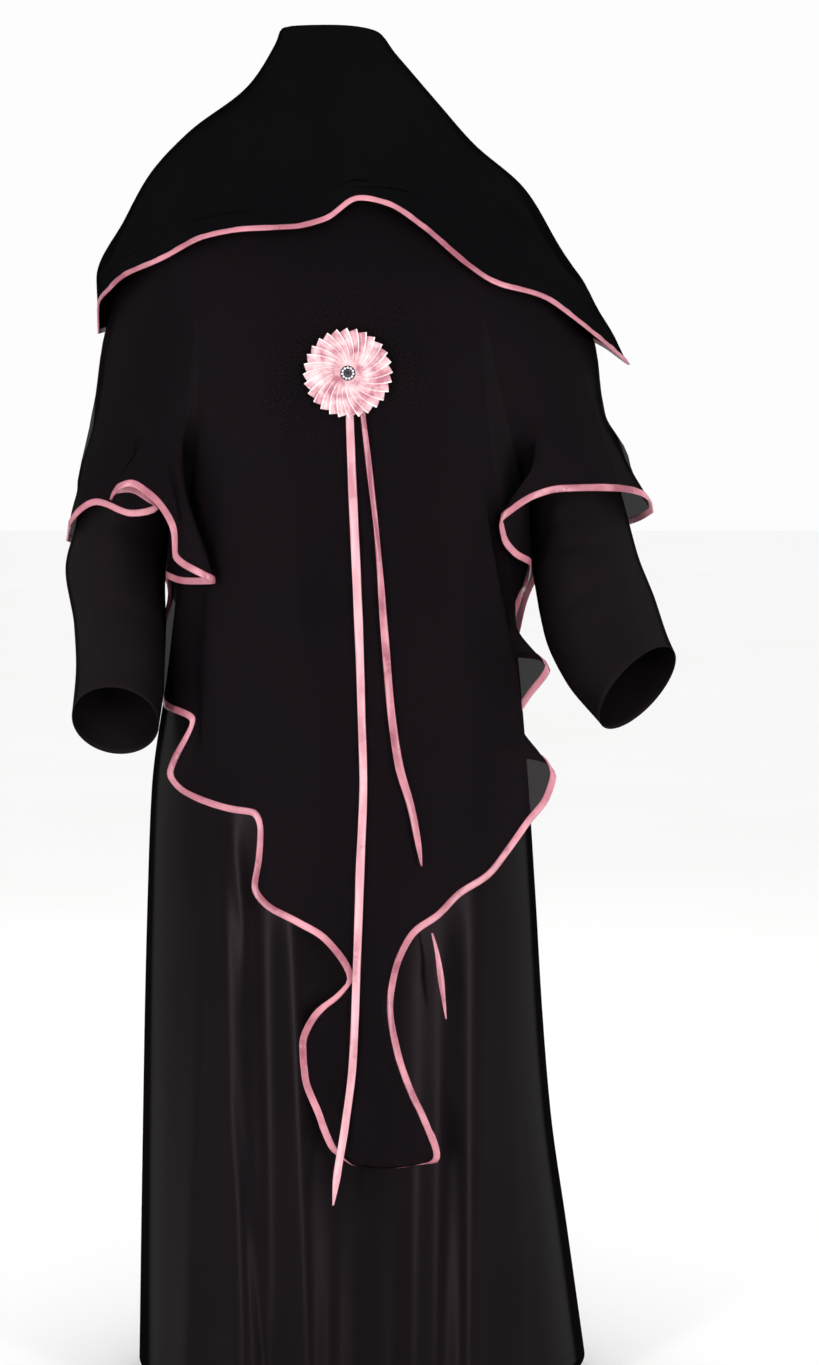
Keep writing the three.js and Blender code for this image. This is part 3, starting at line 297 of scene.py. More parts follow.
# Double-faced satin ribbon, woven 10 mm wide: weft floats in rose polyester, bright where it turns up
# Its tone runs from dark to light rose in patches 60 mm across: partly the ribbon's own uneven colour, partly
# painted light and shade standing in for stretches turned to and from the light
satinRibbon = {
    "dark": "#94485a", "light": "#cf8592", "warpPitch": 1.0, "weftPitch": 1.3, "crooked": 0.5,
    "cloudSize": 60, "patchy": 0.14, "slubSize": 7, "roughLow": 0.24, "roughHigh": 0.36,
    "weaveStrength": 0.16, "weaveDepth": 0.2, "slubStrength": 0.35, "slubDepth": 0.6,
    "specular": 1.0, "ior": 1.5, "sheen": 0.05, "sheenColour": "#ffd9dd",
    "anisotropic": 0.5, "gloss": "#fff2f3", "edgeGloss": "#c79aa2",
}
# The same ribbon on the long tail, painted paler as a lit copy: painted highlight where its floats lie flat to
# the light
ribbonLitCopy = dict(satinRibbon, dark="#c07f8b", light="#dfa5ae")
# The same ribbon pleated into the rosette, painted lighter than the hem ribbon as a lit copy, with small patches
# running up to near-white: painted highlight where its floats face the light one by one
pleatedSatin = {
    "dark": "#c07b8a", "light": "#f6d6d9", "warpPitch": 1.0, "weftPitch": 1.1, "crooked": 0.5,
    "cloudSize": 17, "patchy": 0.13, "slubSize": 5, "roughLow": 0.22, "roughHigh": 0.36,
    "weaveStrength": 0.18, "weaveDepth": 0.2, "slubStrength": 0.3, "slubDepth": 0.4,
    "specular": 0.6, "ior": 1.5, "sheen": 0.05, "sheenColour": "#fff0f0",
    "anisotropic": 0.4, "gloss": "#fff6f6", "edgeGloss": "#d8b4ba",
}
# A strip along each pleat's free edge, standing slightly proud: nearly white, a painted highlight where the edge
# turns to the light
pleatEdgeHighlight = dict(pleatedSatin, dark="#eecfd2", light="#fdf1f1")
# Spun polyester sewing thread, dull and a little hairy
blackThread = dict(mattNida, dark="#0b0a0b", light="#171517", cloudSize=20)
roseThread = dict(satinRibbon, dark="#94485a", light="#b86c7a", roughLow=0.5, roughHigh=0.6, specular=0.3)


def stoneMaterial(name, stone):
    # cut glass over a foil back: hard bright facets, with faint dust that keeps them from one flat tone
    material, tree = newMaterial(name)
    dust = addNoise(tree, stone["dustSize"], 3.0)
    addSurface(tree, {
        "Metallic": stone["metallic"], "Coat Weight": stone["coat"], "Coat Roughness": 0.03, "Coat IOR": 1.54,
    }, {
        "Base Color": addRamp(tree, dust, (0.35, stone["dark"]), (0.65, stone["light"])),
        "Roughness": addRange(tree, dust, 0.0, 1.0, stone["roughLow"], stone["roughHigh"]),
        "Normal": addBump(tree, dust, 0.05, 0.05),
    })
    return material


clearRhinestone = {"dark": "#dfe1ea", "light": "#ffffff", "metallic": 0.5, "coat": 1.0,
                   "roughLow": 0.06, "roughHigh": 0.16, "dustSize": 1.2}
jetRhinestone = {"dark": "#15151b", "light": "#3a3c49", "metallic": 0.6, "coat": 1.0,
                 "roughLow": 0.06, "roughHigh": 0.14, "dustSize": 1.5}
rhodiumPlate = {"dark": "#2c2b31", "light": "#4a4a52", "metallic": 1.0, "coat": 0.0,
                "roughLow": 0.18, "roughHigh": 0.32, "dustSize": 0.8}

# Each finish with its maker, its material's name, what is known of it, and its slot in the record
finishes = {finish: (maker(name, facts), slotName) for finish, maker, name, facts, slotName in (
    ("gown", wovenMaterial, "crepeBackSatin", crepeBackSatin, "crepe"),
    ("sleeve", wovenMaterial, "crepeDullSide", crepeDullSide, "crepe"),
    ("overlay", wovenMaterial, "sheerGeorgette", sheerGeorgette, "chiffon"),
    ("veil", wovenMaterial, "mattNida", mattNida, "veil"),
    ("ribbon", wovenMaterial, "satinRibbon", satinRibbon, "ribbon"),
    ("ribbonLitCopy", wovenMaterial, "ribbonLitCopy", ribbonLitCopy, "ribbon"),
    ("rosette", wovenMaterial, "pleatedSatin", pleatedSatin, "rosette"),
    ("pleatEdgeHighlight", wovenMaterial, "pleatEdgeHighlight", pleatEdgeHighlight, "rosette"),
    ("blackThread", wovenMaterial, "blackThread", blackThread, "crepe"),
    ("roseThread", wovenMaterial, "roseThread", roseThread, "ribbon"),
    ("clearStone", stoneMaterial, "clearRhinestone", clearRhinestone, "crystal"),
    ("jetStone", stoneMaterial, "jetRhinestone", jetRhinestone, "crystal"),
    ("plate", stoneMaterial, "rhodiumPlate", rhodiumPlate, "crystal"),
)}
print("stage: materials")


# Mesh makers
def meshPiece(name, points, faces, finish, smooth=True, maps=None, node=None):
    material, slotName = finishes[finish]
    mesh = bpy.data.meshes.new(name)
    mesh.from_pydata([tuple(p) for p in np.asarray(points) * mm], [], faces)
    mesh.materials.append(material)
    if maps is not None:
        layer = mesh.uv_layers.new(name="cloth")
        corners = np.empty(len(mesh.loops), np.int32)
        mesh.loops.foreach_get("vertex_index", corners)
        layer.data.foreach_set("uv", (np.asarray(maps)[corners] * mm).astype(np.float32).ravel())
    mesh.polygons.foreach_set("use_smooth", [smooth] * len(mesh.polygons))
    mesh.update()
    piece = addObject(name, mesh)
    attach(piece, "root")
    if node:
        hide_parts(node)
    return piece


def gridFaces(rows, columns, outward, around=False, first=0):
    index = np.arange(rows * columns).reshape(rows, columns) + first
    if around:
        index = np.concatenate([index, index[:, :1]], 1)
    a, b, c, d = index[:-1, :-1], index[:-1, 1:], index[1:, 1:], index[1:, :-1]
    order = (a, b, c, d) if outward > 0 else (a, d, c, b)
    return np.stack([corner.ravel() for corner in order], -1).tolist()


def gridPiece(name, grid, finish, outward=1, around=False, wall=0.0, capped=False, node=None):
    # outward +1 where across x down points out of the cloth; the wall grows inwards from the grid
    rows, columns = grid.shape[:2]
    faces = gridFaces(rows, columns, outward, around)
    if capped:
        faces.append(list(range(columns))[:: -1 if outward > 0 else 1])
    down = np.linalg.norm(np.diff(grid, axis=0), axis=-1).mean(1)
    across = np.linalg.norm(np.diff(grid, axis=1), axis=-1).mean(0)
    v = np.concatenate([[0], np.cumsum(down)])
    u = np.concatenate([[0], np.cumsum(across)])
    maps = np.stack(np.broadcast_arrays(u[None, :], v[:, None]), -1).reshape(-1, 2)
    piece = meshPiece(name, grid.reshape(-1, 3), faces, finish, maps=maps, node=node)
    if wall:
        shell = piece.modifiers.new("cloth wall", "SOLIDIFY")
        shell.thickness = wall * mm
        shell.offset = -1
        shell.use_even_offset = False
    return piece


bindingSizes = {"proud": 0.12, "crown": 0.45, "back": 1.0, "lean": 1.3, "wave": 84, "unevenWave": 37,
                "foldReach": 0.25}


def bindingPiece(name, grid, normals, inward, node):
    # A ribbon folded over an edge: grid rows run from the fold inwards; it shows on both faces, and
    # it leans now to its fold, now to its seam, which turns its floats to the light by stretches
    sizes = bindingSizes
    count, back = grid.shape[0], sizes["back"]
    share = ((np.arange(count) + 0.5) / count)[:, None, None]
    run = lengthsAlong(grid[0])[None, :, None]
    lean = 0.5 + 0.5 * np.sin(2 * math.pi * run / sizes["wave"]
                              + 1.4 * np.sin(2 * math.pi * run / sizes["unevenWave"]))
    rise = sizes["proud"] + sizes["crown"] * np.sin(math.pi * share)
    rise = rise + sizes["lean"] * (share * lean + (1 - share) * (1 - lean))
    front = grid - inward * normals * rise
    rear = (grid + inward * normals * back)[::-1]
    fold = grid[:1] + (grid[:1] - grid[1:2]) * sizes["foldReach"] + inward * normals[:1] * back / 2
    ring = np.concatenate([fold, front, rear]).transpose(1, 0, 2)  # one row a station, closed round the ribbon
    return gridPiece(name, ring, "ribbon", outward=-inward, around=True, node=node)


stitchSizes = {"length": 2.6, "pitch": 3.8, "radius": 0.2, "lift": 0.15, "startGap": 1.5, "endGap": 1}


def stitchPiece(name, line, out, finish):
    # running stitches as small spindles lying on a line
    sizes = stitchSizes
    end = lengthsAlong(line)[-1] - sizes["length"] - sizes["endGap"]
    starts = np.arange(sizes["startGap"], end, sizes["pitch"])
    first, last = alongLine(line, starts), alongLine(line, starts + sizes["length"])
    lift = unit(alongLine(line, starts, out))
    side = unit(np.cross(unit(last - first), lift))
    middle = (first + last) / 2
    r = sizes["radius"]
    ring = [middle + lift * r, middle + side * r, middle - lift * r, middle - side * r]
    points = np.stack([first, last, *ring], 1).reshape(-1, 3)
    pattern = [(0, 2, 3), (0, 3, 4), (0, 4, 5), (0, 5, 2), (1, 3, 2), (1, 4, 3), (1, 5, 4), (1, 2, 5)]
    faces = [tuple(6 * k + i for i in f) for k in range(len(starts)) for f in pattern]
    return meshPiece(name, points, faces, finish, maps=points[:, [0, 2]])


def rowAt(lengths, fromEnd):  # the row nearest to a length measured back from the end
    return int(np.argmin(np.abs(lengths - (lengths[-1] - fromEnd))))


# Gown: front and back panels from the shoulder line to the hem
gownSizes = {"frontColumns": 150, "backColumns": 120, "rows": 150, "armholeDepth": 62, "seamGap": 0.3,
             "wall": 0.8, "hemStitch": 25}
foldColumns = "topX footX topZ rise width footZ"
shoulderRows = table("leftX leftZ rightX rightZ front frontZ back backZ", [
    (78, -4, 76, -6, 78, -44, 62, -12), (134, -27, 127, -31, 93, -80, 86, -38),
    (190, -50, 178, -57, 109, -112, 103, -66),
])
armholeRows = table("front frontZ back backZ", [
    (118, -136, 108, -94), (129, -166, 112, -140), (138, -204, 113, -190), (140, -232, 113, -222),
])
underarm = {"leftX": 172, "rightX": 165, "z": -215}
skirtRows = table("z left right front back", [
    (-290, 172, 167, 141, 112), (-400, 180, 178, 141, 113), (-520, 196, 196, 145, 118),
    (-650, 212, 210, 150, 126), (-785, 231, 221, 154, 136), (-920, 237, 230, 162, 149),
    (-1050, 241, 238, 174, 163), (-1180, 244, 249, 187, 177), (-1320, 247, 269, 202, 192),
    (-1475, 250, 291, 220, 207),
])
skirtFrontFolds = table(foldColumns, [
    (-164, -184, -900, 7, 20), (-128, -112, -760, 9, 24), (-90, -84, -900, -10, 19),
    (-59, -32, -860, 8, 20), (8, -12, -1180, -9, 18), (40, 34, -1180, 7, 24), (114, 112, -900, -10, 20),
    (158, 144, -840, 9, 20), (204, 222, -1050, -6, 22),
])
skirtBackFolds = table(foldColumns, [
    (-170, -190, -800, -8, 24), (-110, -124, -700, 10, 26), (-50, -62, -750, -10, 24),
    (0, 2, -650, 11, 28), (56, 72, -750, -10, 24), (116, 140, -700, 10, 26), (176, 214, -850, -8, 24),
])
# Smaller creases that only the looks need
skirtFrontCreases = table(foldColumns, [
    (-163, -186, -960, 2.4, 9), (-138, -132, -850, 4, 12, -1130), (-125, -112, -830, 3, 8, -930),
    (-128, -122, -1110, 3, 24), (-126, -84, -1085, -3.5, 8), (-60, -34, -910, 2.4, 11),
    (12, -6, -1180, 6, 18), (40, 34, -1180, -4, 24), (-2, 16, -1150, 1.6, 9), (156, 140, -870, 2, 22),
    (88, 80, -1120, 2.2, 12), (196, 214, -900, 2, 11), (-210, -222, -1060, 1.8, 10), (60, 62, -1260, -2, 9),
])
skirtBackCreases = table(foldColumns, [
    (-140, -154, -880, 3, 11), (-84, -90, -960, 2.6, 10), (-26, -34, -820, -3, 12),
    (30, 44, -900, 3, 11), (88, 104, -1040, -2.6, 10), (146, 170, -930, 3, 12),
    (-200, -214, -1060, 2.4, 10), (12, 20, -1180, 2.6, 10),
])


def gownStations():
    angle = np.pi * np.arange(1, len(armholeRows["front"]) + 1) / len(armholeRows["front"])
    down = (1 - np.cos(angle)) / 2
    tip = {name: column[-1] for name, column in shoulderRows.items()}
    arm = dict(armholeRows, **{
        "leftX": mix(tip["leftX"], underarm["leftX"], down), "leftZ": mix(tip["leftZ"], underarm["z"], down),
        "rightX": mix(tip["rightX"], underarm["rightX"], down), "rightZ": mix(tip["rightZ"], underarm["z"], down),
    })
    skirt = {"leftX": skirtRows["left"], "rightX": skirtRows["right"], "front": skirtRows["front"],
             "back": skirtRows["back"]}
    skirt.update({name: skirtRows["z"] for name in ("leftZ", "rightZ", "frontZ", "backZ")})
    rows = {name: np.concatenate([shoulderRows[name], arm[name], skirt[name]]) for name in shoulderRows}
    rows["edge"] = np.concatenate([
        np.zeros(len(shoulderRows["front"])), gownSizes["armholeDepth"] * np.sin(angle),
        np.zeros(len(skirtRows["z"])),
    ])
    steps = np.hypot(np.diff(rows["front"]), np.diff(rows["frontZ"])) + np.abs(np.diff(rows["leftZ"])) / 2
    rows["run"] = np.concatenate([[0], np.cumsum(steps)])
    return rows


gownRows = gownStations()


def gownPanel(name, face, columns, folds, creases, node):
    sizes = gownSizes
    side = "front" if face < 0 else "back"
    at = np.linspace(0, gownRows["run"][-1], sizes["rows"])
    r = {key: sample(gownRows, "run", at, key)[:, None] for key in gownRows if key != "run"}
    turn = math.radians(90) * np.linspace(-1, 1, columns + 1)[None, :]
    s, c = rounded(np.sin(turn)), rounded(np.cos(turn))
    x = s * np.where(s < 0, r["leftX"], r["rightX"])
    z = mix(r[side + "Z"], np.where(s < 0, r["leftZ"], r["rightZ"]), np.sin(turn) ** 2)
    hemZ = skirtRows["z"][-1]
    still = 1 - np.abs(s) ** 8
    rise = (foldRise(folds, x, z, hemZ) + foldRise(creases, x, z, hemZ)) * still
    y = face * (r["edge"] + (r[side] - r["edge"] + rise) * c + sizes["seamGap"] / 2)
    grid = np.stack([x, y, z], -1)
    piece = gridPiece(name, grid, "gown", outward=face, wall=sizes["wall"], node=node)
    hemRow = rowAt(at, sizes["hemStitch"])
    out = (gridNormals(grid) * face)[hemRow, 2:-2]
    line = grid[hemRow, 2:-2] + out * stitchSizes["lift"]
    return piece, stitchPiece(name + "HemStitches", line, out, "blackThread")


gownFront, gownFrontHem = gownPanel("gownFront", -1, gownSizes["frontColumns"], skirtFrontFolds,
                                    skirtFrontCreases, "body_front")
gownBack, gownBackHem = gownPanel("gownBack", 1, gownSizes["backColumns"], skirtBackFolds,
                                  skirtBackCreases, "body_back")
print("stage: gown panels")

# Sleeves: rings from the armhole to the open cuff
sleeveSizes = {"rows": 110, "spokes": 96, "wall": 0.8, "gap": 0.3, "cuffStitch": 14, "girth": 330,
               "creaseStart": 0.3, "creaseEnd": 0.04}
leftSleeveRings = table("outX outZ inX inZ y depth tip", [
    (214, -80, 174.5, -224, 0, 60, 0), (236, -118, 177, -234, 1, 57, 0),
    (254, -165, 179, -248, 2, 55, 0), (268, -214, 181, -268, 3, 53, 0),
    (282, -285, 186, -312, 4, 53, 0), (307, -395, 199, -405, 4, 54, 2),
    (319, -470, 208, -474, 0, 55, 8), (330, -522, 213, -540, -18, 55, 20),
    (317, -588, 210, -600, -50, 53, 28), (312, -645, 210, -655, -84, 53, 36),
    (314, -690, 214, -700, -112, 57, 48),
])
rightSleeveRings = table("outX outZ inX inZ y depth tip", [
    (199, -88, 167.5, -224, 0, 60, 0), (220, -125, 170.5, -234, 1, 57, 0),
    (240, -168, 174, -249, 2, 55, 0), (259, -214, 178, -270, 3, 53, 0),
    (283, -290, 189, -322, 4, 54, 0), (314, -385, 209, -412, 4, 56, 2),
    (333, -446, 218, -482, -2, 57, 8), (349, -508, 228, -545, -22, 58, 18),
    (367, -557, 238, -600, -48, 56, 26), (377, -592, 262, -652, -78, 54, 34),
    (383, -612, 304, -702, -106, 56, 44),
])
# Creases: place down the sleeve as a share, bearing from the outer line in degrees, and how it slants
sleeveCreases = table("down bearing rise long wide slant", [
    (0.52, 70, 1.5, 46, 13, 30), (0.60, 115, 1.6, 48, 14, 22), (0.68, 80, 1.4, 50, 12, -24),
    (0.79, 100, 1.3, 44, 12, 18), (0.60, 225, 1.5, 46, 13, 20), (0.70, 255, -1.2, 46, 13, -24),
    (0.82, 235, 1.2, 42, 12, 18),
])


def creaseRise(creases, down, bearing, length, girth):
    rise = 0 * (down + bearing)
    for crease in rowsOf(creases):
        along = (down - crease["down"]) * length
        turn = (bearing - crease["bearing"] + 180) % 360 - 180
        around = turn / 360 * girth
        slant = math.radians(crease["slant"])
        lie = around * math.cos(slant) + along * math.sin(slant)
        cross = -around * math.sin(slant) + along * math.cos(slant)
        rise = rise + crease["rise"] * np.exp(-((lie / crease["long"]) ** 2) - (cross / crease["wide"]) ** 2)
    return rise


def sleevePiece(name, side, rings, node):
    sizes = sleeveSizes
    hand = "left" if side < 0 else "right"
    top = {"outX": shoulderRows[hand + "X"][-1], "outZ": shoulderRows[hand + "Z"][-1],
           "inX": underarm[hand + "X"], "inZ": underarm["z"], "y": 0,
           "depth": gownSizes["armholeDepth"], "tip": 0}
    rows = {key: np.concatenate([[top[key]], rings[key]]) for key in rings}
    middles = np.stack([rows["outX"] + rows["inX"], 2 * rows["y"], rows["outZ"] + rows["inZ"]], -1) / 2
    rows["run"] = lengthsAlong(middles)
    at = np.linspace(0, rows["run"][-1], sizes["rows"])
    r = {key: sample(rows, "run", at, key) for key in rings}
    out = np.stack([side * r["outX"], r["y"], r["outZ"]], -1)
    centre = (out + np.stack([side * r["inX"], r["y"], r["inZ"]], -1)) / 2
    across = out - centre
    tips = np.radians(r["tip"])
    forward = np.stack([0 * tips, -np.cos(tips), np.sin(tips)], -1)
    lean = unit(across)
    forward = unit(forward - lean * np.sum(forward * lean, -1, keepdims=True))
    turn = 2 * np.pi * np.arange(sizes["spokes"]) / sizes["spokes"]
    grid = centre[:, None] + across[:, None] * np.cos(turn)[None, :, None]
    grid = grid + forward[:, None] * (r["depth"][:, None] * np.sin(turn)[None, :])[..., None]
    armLine = np.array([side * (top["outZ"] - top["inZ"]), 0, top["inX"] - top["outX"]])
    grid = grid + unit(armLine) * sizes["gap"]
    normals = gridNormals(grid, True) * -side
    down = (at / at[-1])[:, None]
    bearing = np.degrees(turn)[None, :]
    rise = creaseRise(sleeveCreases, down, bearing, at[-1], sizes["girth"])
    rise = rise * ease(down / sizes["creaseStart"]) * ease((1 - down) / sizes["creaseEnd"])
    grid = grid + normals * rise[..., None]
    piece = gridPiece(name, grid, "sleeve", outward=-side, around=True, wall=sizes["wall"], node=node)
    cuffRow = rowAt(at, sizes["cuffStitch"])
    loop, outs = (np.concatenate([rows[cuffRow], rows[cuffRow, :1]]) for rows in (grid, normals))
    return piece, stitchPiece(name + "CuffStitches", loop + outs * stitchSizes["lift"], outs, "blackThread")


sleeveLeft, sleeveLeftCuff = sleevePiece("sleeveLeft", -1, leftSleeveRings, "sleeve_left")
sleeveRight, sleeveRightCuff = sleevePiece("sleeveRight", 1, rightSleeveRings, "sleeve_right")
print("stage: sleeves")

# Overlay: a cape cut full, so that its edge falls in flutes, bound with ribbon all round
overlaySizes = {"step": 7, "backStep": 9, "threadPitch": 0.8, "chestLine": -330, "neckDip": 46,
                "leaveReach": 28, "curlLength": 34, "upperRows": 26, "wall": 0.45,
                "softBand": 90, "softness": 1350, "inset": 0.3, "stitchLift": 1.1, "seamRow": 5,
                "rowStep": 9, "formRise": 40, "leaveShare": 0.3, "arriveShare": 0.4, "arriveLean": 0.6,
                "bendPoints": 25, "edgeSoftness": 676, "usualHeight": 500, "backDip": 11.5, "dipPower": 5,
                "spreadFrom": 0.97, "spreadPower": 1.15, "shortest": 0.6, "normalPasses": 6, "edgePasses": 4}
bindingLengths = np.array([0, 1.0, 2.6, 4.0, 5.4, 6.8, 7.8])
clothLengths = np.array([6.4, 8.6, 11.6, 17, 22, 28, 34, 42, 51, 62, 74, 88, 106])
overlayForm = table("z left right front back", [
    (4, 80, 78, 60, 58), (-12, 128, 118, 72, 74), (-30, 170, 150, 86, 92), (-50, 202, 182, 97, 106),
    (-80, 226, 208, 112, 118), (-120, 246, 233, 128, 125), (-160, 260, 252, 143, 129),
    (-205, 274, 274, 153, 131), (-260, 288, 300, 157, 132), (-330, 298, 309, 158, 134),
    (-405, 318, 342, 157, 138), (-450, 326, 368, 156, 141), (-500, 332, 372, 157, 144),
    (-650, 330, 372, 163, 154), (-785, 330, 372, 171, 164), (-920, 330, 372, 184, 176),
    (-1050, 330, 372, 202, 192), (-1200, 330, 372, 229, 210),
])
overlayFolds = table(foldColumns, [
    (-84, -100, -190, 6, 20, -560), (-66, -4, -300, 6, 18, -960), (112, 150, -220, 6, 20, -800),
    (68, 100, -170, 4, 16, -400), (262, 210, -320, 4, 16, -440),
])
overlayBackFolds = table(foldColumns, [
    (-150, -170, -230, 4, 22, -560), (-80, -96, -190, 5, 20, -700), (-20, -14, -170, 4, 18, -760),
    (52, 62, -210, 5, 20, -720), (128, 150, -220, 4, 22, -600), (-232, -240, -260, 3, 14, -420),
    (228, 246, -260, 3, 14, -420),
])
overlayCreases = table(foldColumns, [
    (-112, -126, -190, 1.6, 14, -560), (-66, -20, -300, 1.8, 15, -760), (-18, -3, -640, 1.4, 13, -1040),
    (112, 146, -230, 1.8, 14, -640), (146, 160, -560, 1.6, 13, -900), (66, 100, -180, 1.4, 13, -360),
    (176, 184, -330, 1.4, 14, -560), (-160, -178, -330, 1.4, 14, -500), (246, 226, -330, 1.6, 13, -430),
])
overlayCreases = {key: np.concatenate([overlayFolds[key], overlayCreases[key]]) for key in overlayCreases}
# Front hem, one row a turn. chest: where the same thread crosses the chest line. hang: how far above the
# hem it falls free, and overX, overY where it does so. curl: degrees by which the edge rolls under.
overlayHem = table("x y z chest hang overX overY curl", [
    (-331, 0, -490, -298, 60), (-323, -32, -470, -292, 60), (-288, -66, -445, -276, 60, -282, -80),
    (-247, -84, -458, -262, 90, -262, -92), (-227, -92, -456, -256.5, 90, -255, -97),
    (-214, -100, -449, -251, 86, -247, -100), (-226, -110, -440, -246.5, 82, -243.5, -105),
    (-246, -114, -429, -241.5, 74, -238.5, -110), (-262, -120, -431, -237.5, 75, -234.5, -114),
    (-266, -127, -438, -234.5, 80, -231.5, -117), (-259, -134, -428, -231.5, 74, -228.5, -120),
    (-243, -139, -422, -227, 72, -224, -123.5), (-226, -140, -431, -223, 80, -219.5, -126),
    (-209, -139, -448, -219, 92, -215.5, -128), (-196, -137, -476, -212, 110, -207, -129),
    (-194, -141, -503, -204, 120, -199, -132), (-157, -158, -527, -192, 130, -186, -138),
    (-146, -150, -533, -184, 130, -180, -132), (-182, -122, -535, -177, 120, -184, -118),
    (-208, -58, -530, -171, 110, -197, -92), (-211, -2, -560, -166, 90, -201, -44),
    (-219, -4, -612, -162, 90, -201, -52), (-217, -28, -664, -157, 80, -200, -65),
    (-211, -66, -682, -150, 70, -197, -80), (-177, -114, -696, -136, 42, -167, -115),
    (-200, -103, -741, -128, 20, -164, -124), (-205, -100, -758, -122, 34, -160, -127),
    (-190, -106, -779, -114, 52, -155, -130), (-130, -142, -798, -96, 60, -122, -142),
    (-103, -153, -801, -86, 40, -93, -154), (-97, -157, -817, -80, 34, -82, -159),
    (-99, -162, -849, -73, 44, -76, -163), (-104, -166, -882, -66, 60, -70, -166),
    (-91, -172, -903, -57, 60, -62, -169), (-52, -181, -924, -42, 60, -42, -175),
    (-22, -187, -941, -28, 46, -12, -181), (7, -194, -984, -12, 50, 19), (-4, -197, -999, -4, 35, 21.5),
    (-33, -200, -1023, 3, 38, 24), (-48, -205, -1058, 9, 60, 26.5), (-45, -210, -1096, 14, 88, 29),
    (-29, -216, -1138, 19, 124, 31), (-15, -223, -1174, 24, 156, 33, None, 25),
    (6, -231, -1214, 29, 195, 34.5, None, 135), (50, -233, -1219, 37, 199, 36.5, None, 135),
    (92, -231, -1214, 45, 194, 38.5, None, 135), (113, -224, -1187, 51, 170, 40.5, None, 25),
    (100, -217, -1146, 56, 136, 42.5), (82, -210, -1108, 60, 107, 44.5),
    (68, -204, -1067, 65, 78, 46.5), (59, -198, -1016, 70, 47, 49), (64, -191, -980, 76, 38, 54),
    (84, -181, -937, 84, 44, 70, -178), (113, -171, -917, 94, 50, 100, -169),
    (137, -161, -894, 103, 50, 121, -161), (171, -145, -874, 114, 70, 146, -150),
    (195, -133, -846, 123, 80, 166, -138), (218, -124, -815, 132, 80, 184, -125),
    (241, -117, -786, 141, 74, 201, -113), (249, -111, -760, 149, 60, 210, -107),
    (235, -106, -744, 154, 55, 205, -103), (209, -103, -739, 158, 56, 196, -100),
    (186, -98, -735, 162, 60, 187, -96), (199, -87, -704, 167, 50, 188, -88),
    (219, -83, -672, 173, 54, 195, -81), (243, -81, -638, 179, 52, 203, -76),
    (231, -75, -627, 184, 52, 201, -71), (195, -68, -621, 190, 70, 194, -65),
    (205, -52, -572, 197, 50, 197, -55), (211, -26, -554, 203, 60, 204, -49),
    (217, 6, -547, 209, 70, 209, -45), (221, -14, -531, 214.5, 62, 214, -58),
    (220, -66, -517, 219, 70, 217, -84), (200, -104, -504, 223, 80, 216, -102),
    (185, -121, -485, 227, 80, 217, -112), (182, -128, -467, 231, 75, 220, -117),
    (196, -130, -453, 237, 70, 226, -120), (224, -121, -436, 248, 60, 238, -116),
    (252, -110, -429, 260, 55, 256, -106), (288, -95, -428, 276, 55, 282, -90),
    (322, -74, -429, 292, 55, 307, -66), (352, -46, -435, 304, 55, 326, -38),
    (366, -20, -446, 308, 60, 332, -14), (369, 0, -456, 309, 60, 333, 0),
])
overlayBackHem = table("x y z chest hang overX overY curl", [
    (-331, 0, -490, -298, 60), (-314, 62, -500, -286, 80), (-262, 118, -505, -250, 120),
    (-214, 110, -560, -214, 160), (-196, 148, -640, -182, 200), (-150, 152, -680, -146, 200),
    (-128, 174, -760, -112, 240), (-84, 166, -795, -74, 220), (-52, 192, -880, -42, 260),
    (0, 184, -925, 0, 240), (50, 194, -885, 42, 260), (86, 168, -800, 76, 220),
    (128, 176, -765, 114, 240), (156, 154, -685, 150, 200), (206, 150, -640, 188, 200),
    (226, 114, -560, 222, 160), (280, 118, -490, 260, 120), (336, 70, -475, 294, 80),
    (356, 26, -466, 306, 60), (369, 0, -456, 309, 60),
])


def overlayPoints(face, share, z):  # the smooth form, on the thread at share -1..1 of the half turn
    turn = math.radians(90) * share
    s = rounded(np.sin(turn))
    left, right = (sample(overlayForm, "z", z, name) for name in ("left", "right"))
    deep = sample(overlayForm, "z", z, "front" if face < 0 else "back")
    x = s * np.where(s < 0, left, right)
    rise = foldRise(overlayCreases if face < 0 else overlayBackFolds, x, z, 0)
    y = face * (deep + rise) * rounded(np.cos(turn))
    return np.stack(np.broadcast_arrays(x, y, z), -1)


def overlayWidth(x, z):
    return np.where(x < 0, sample(overlayForm, "z", z, "left"), sample(overlayForm, "z", z, "right"))


def shareAt(x, z):
    inward = np.minimum(1, np.abs(x) / overlayWidth(x, z)) ** (fullness / 2)
    return np.sign(x) * (2 / math.pi) * np.arcsin(inward)


def overlayDepth(face, x, z):
    return np.abs(overlayPoints(face, shareAt(x, z), z)[..., 1])


def hemStations(rows, step):
    sizes = overlaySizes
    over = rows["z"] + rows["hang"]
    along = np.clip((over - rows["z"]) / (sizes["chestLine"] - rows["z"]), 0, 1)
    x = np.where(np.isnan(rows["overX"]), mix(rows["x"], rows["chest"], along), rows["overX"])
    face = np.where(rows["y"] > 0, 1, -1)
    form = np.where(face < 0, overlayDepth(-1, x, over), overlayDepth(1, x, over))
    y = np.where(np.isnan(rows["overY"]), np.where(rows["y"] == 0, 0, np.sign(rows["y"]) * form), rows["overY"])
    filled = dict(rows, overX=x, overY=y, curl=np.nan_to_num(rows["curl"]))
    points = np.stack([rows["x"], rows["y"], rows["z"]], -1)
    gaps = np.linalg.norm(np.diff(points, axis=0), axis=-1)
    filled["run"] = np.concatenate([[0], np.cumsum(np.sqrt(gaps))])
    threads = np.maximum(1, np.round(np.diff(rows["chest"]) / sizes["threadPitch"]))
    parts = np.maximum(1, np.minimum(np.round(gaps / step), threads)).astype(int)
    run = filled["run"]
    at = np.concatenate([np.linspace(run[k], run[k + 1], n, endpoint=False) for k, n in enumerate(parts)])
    at = np.append(at, run[-1])
    return {key: sample(filled, "run", at, key) for key in filled if key != "run"}


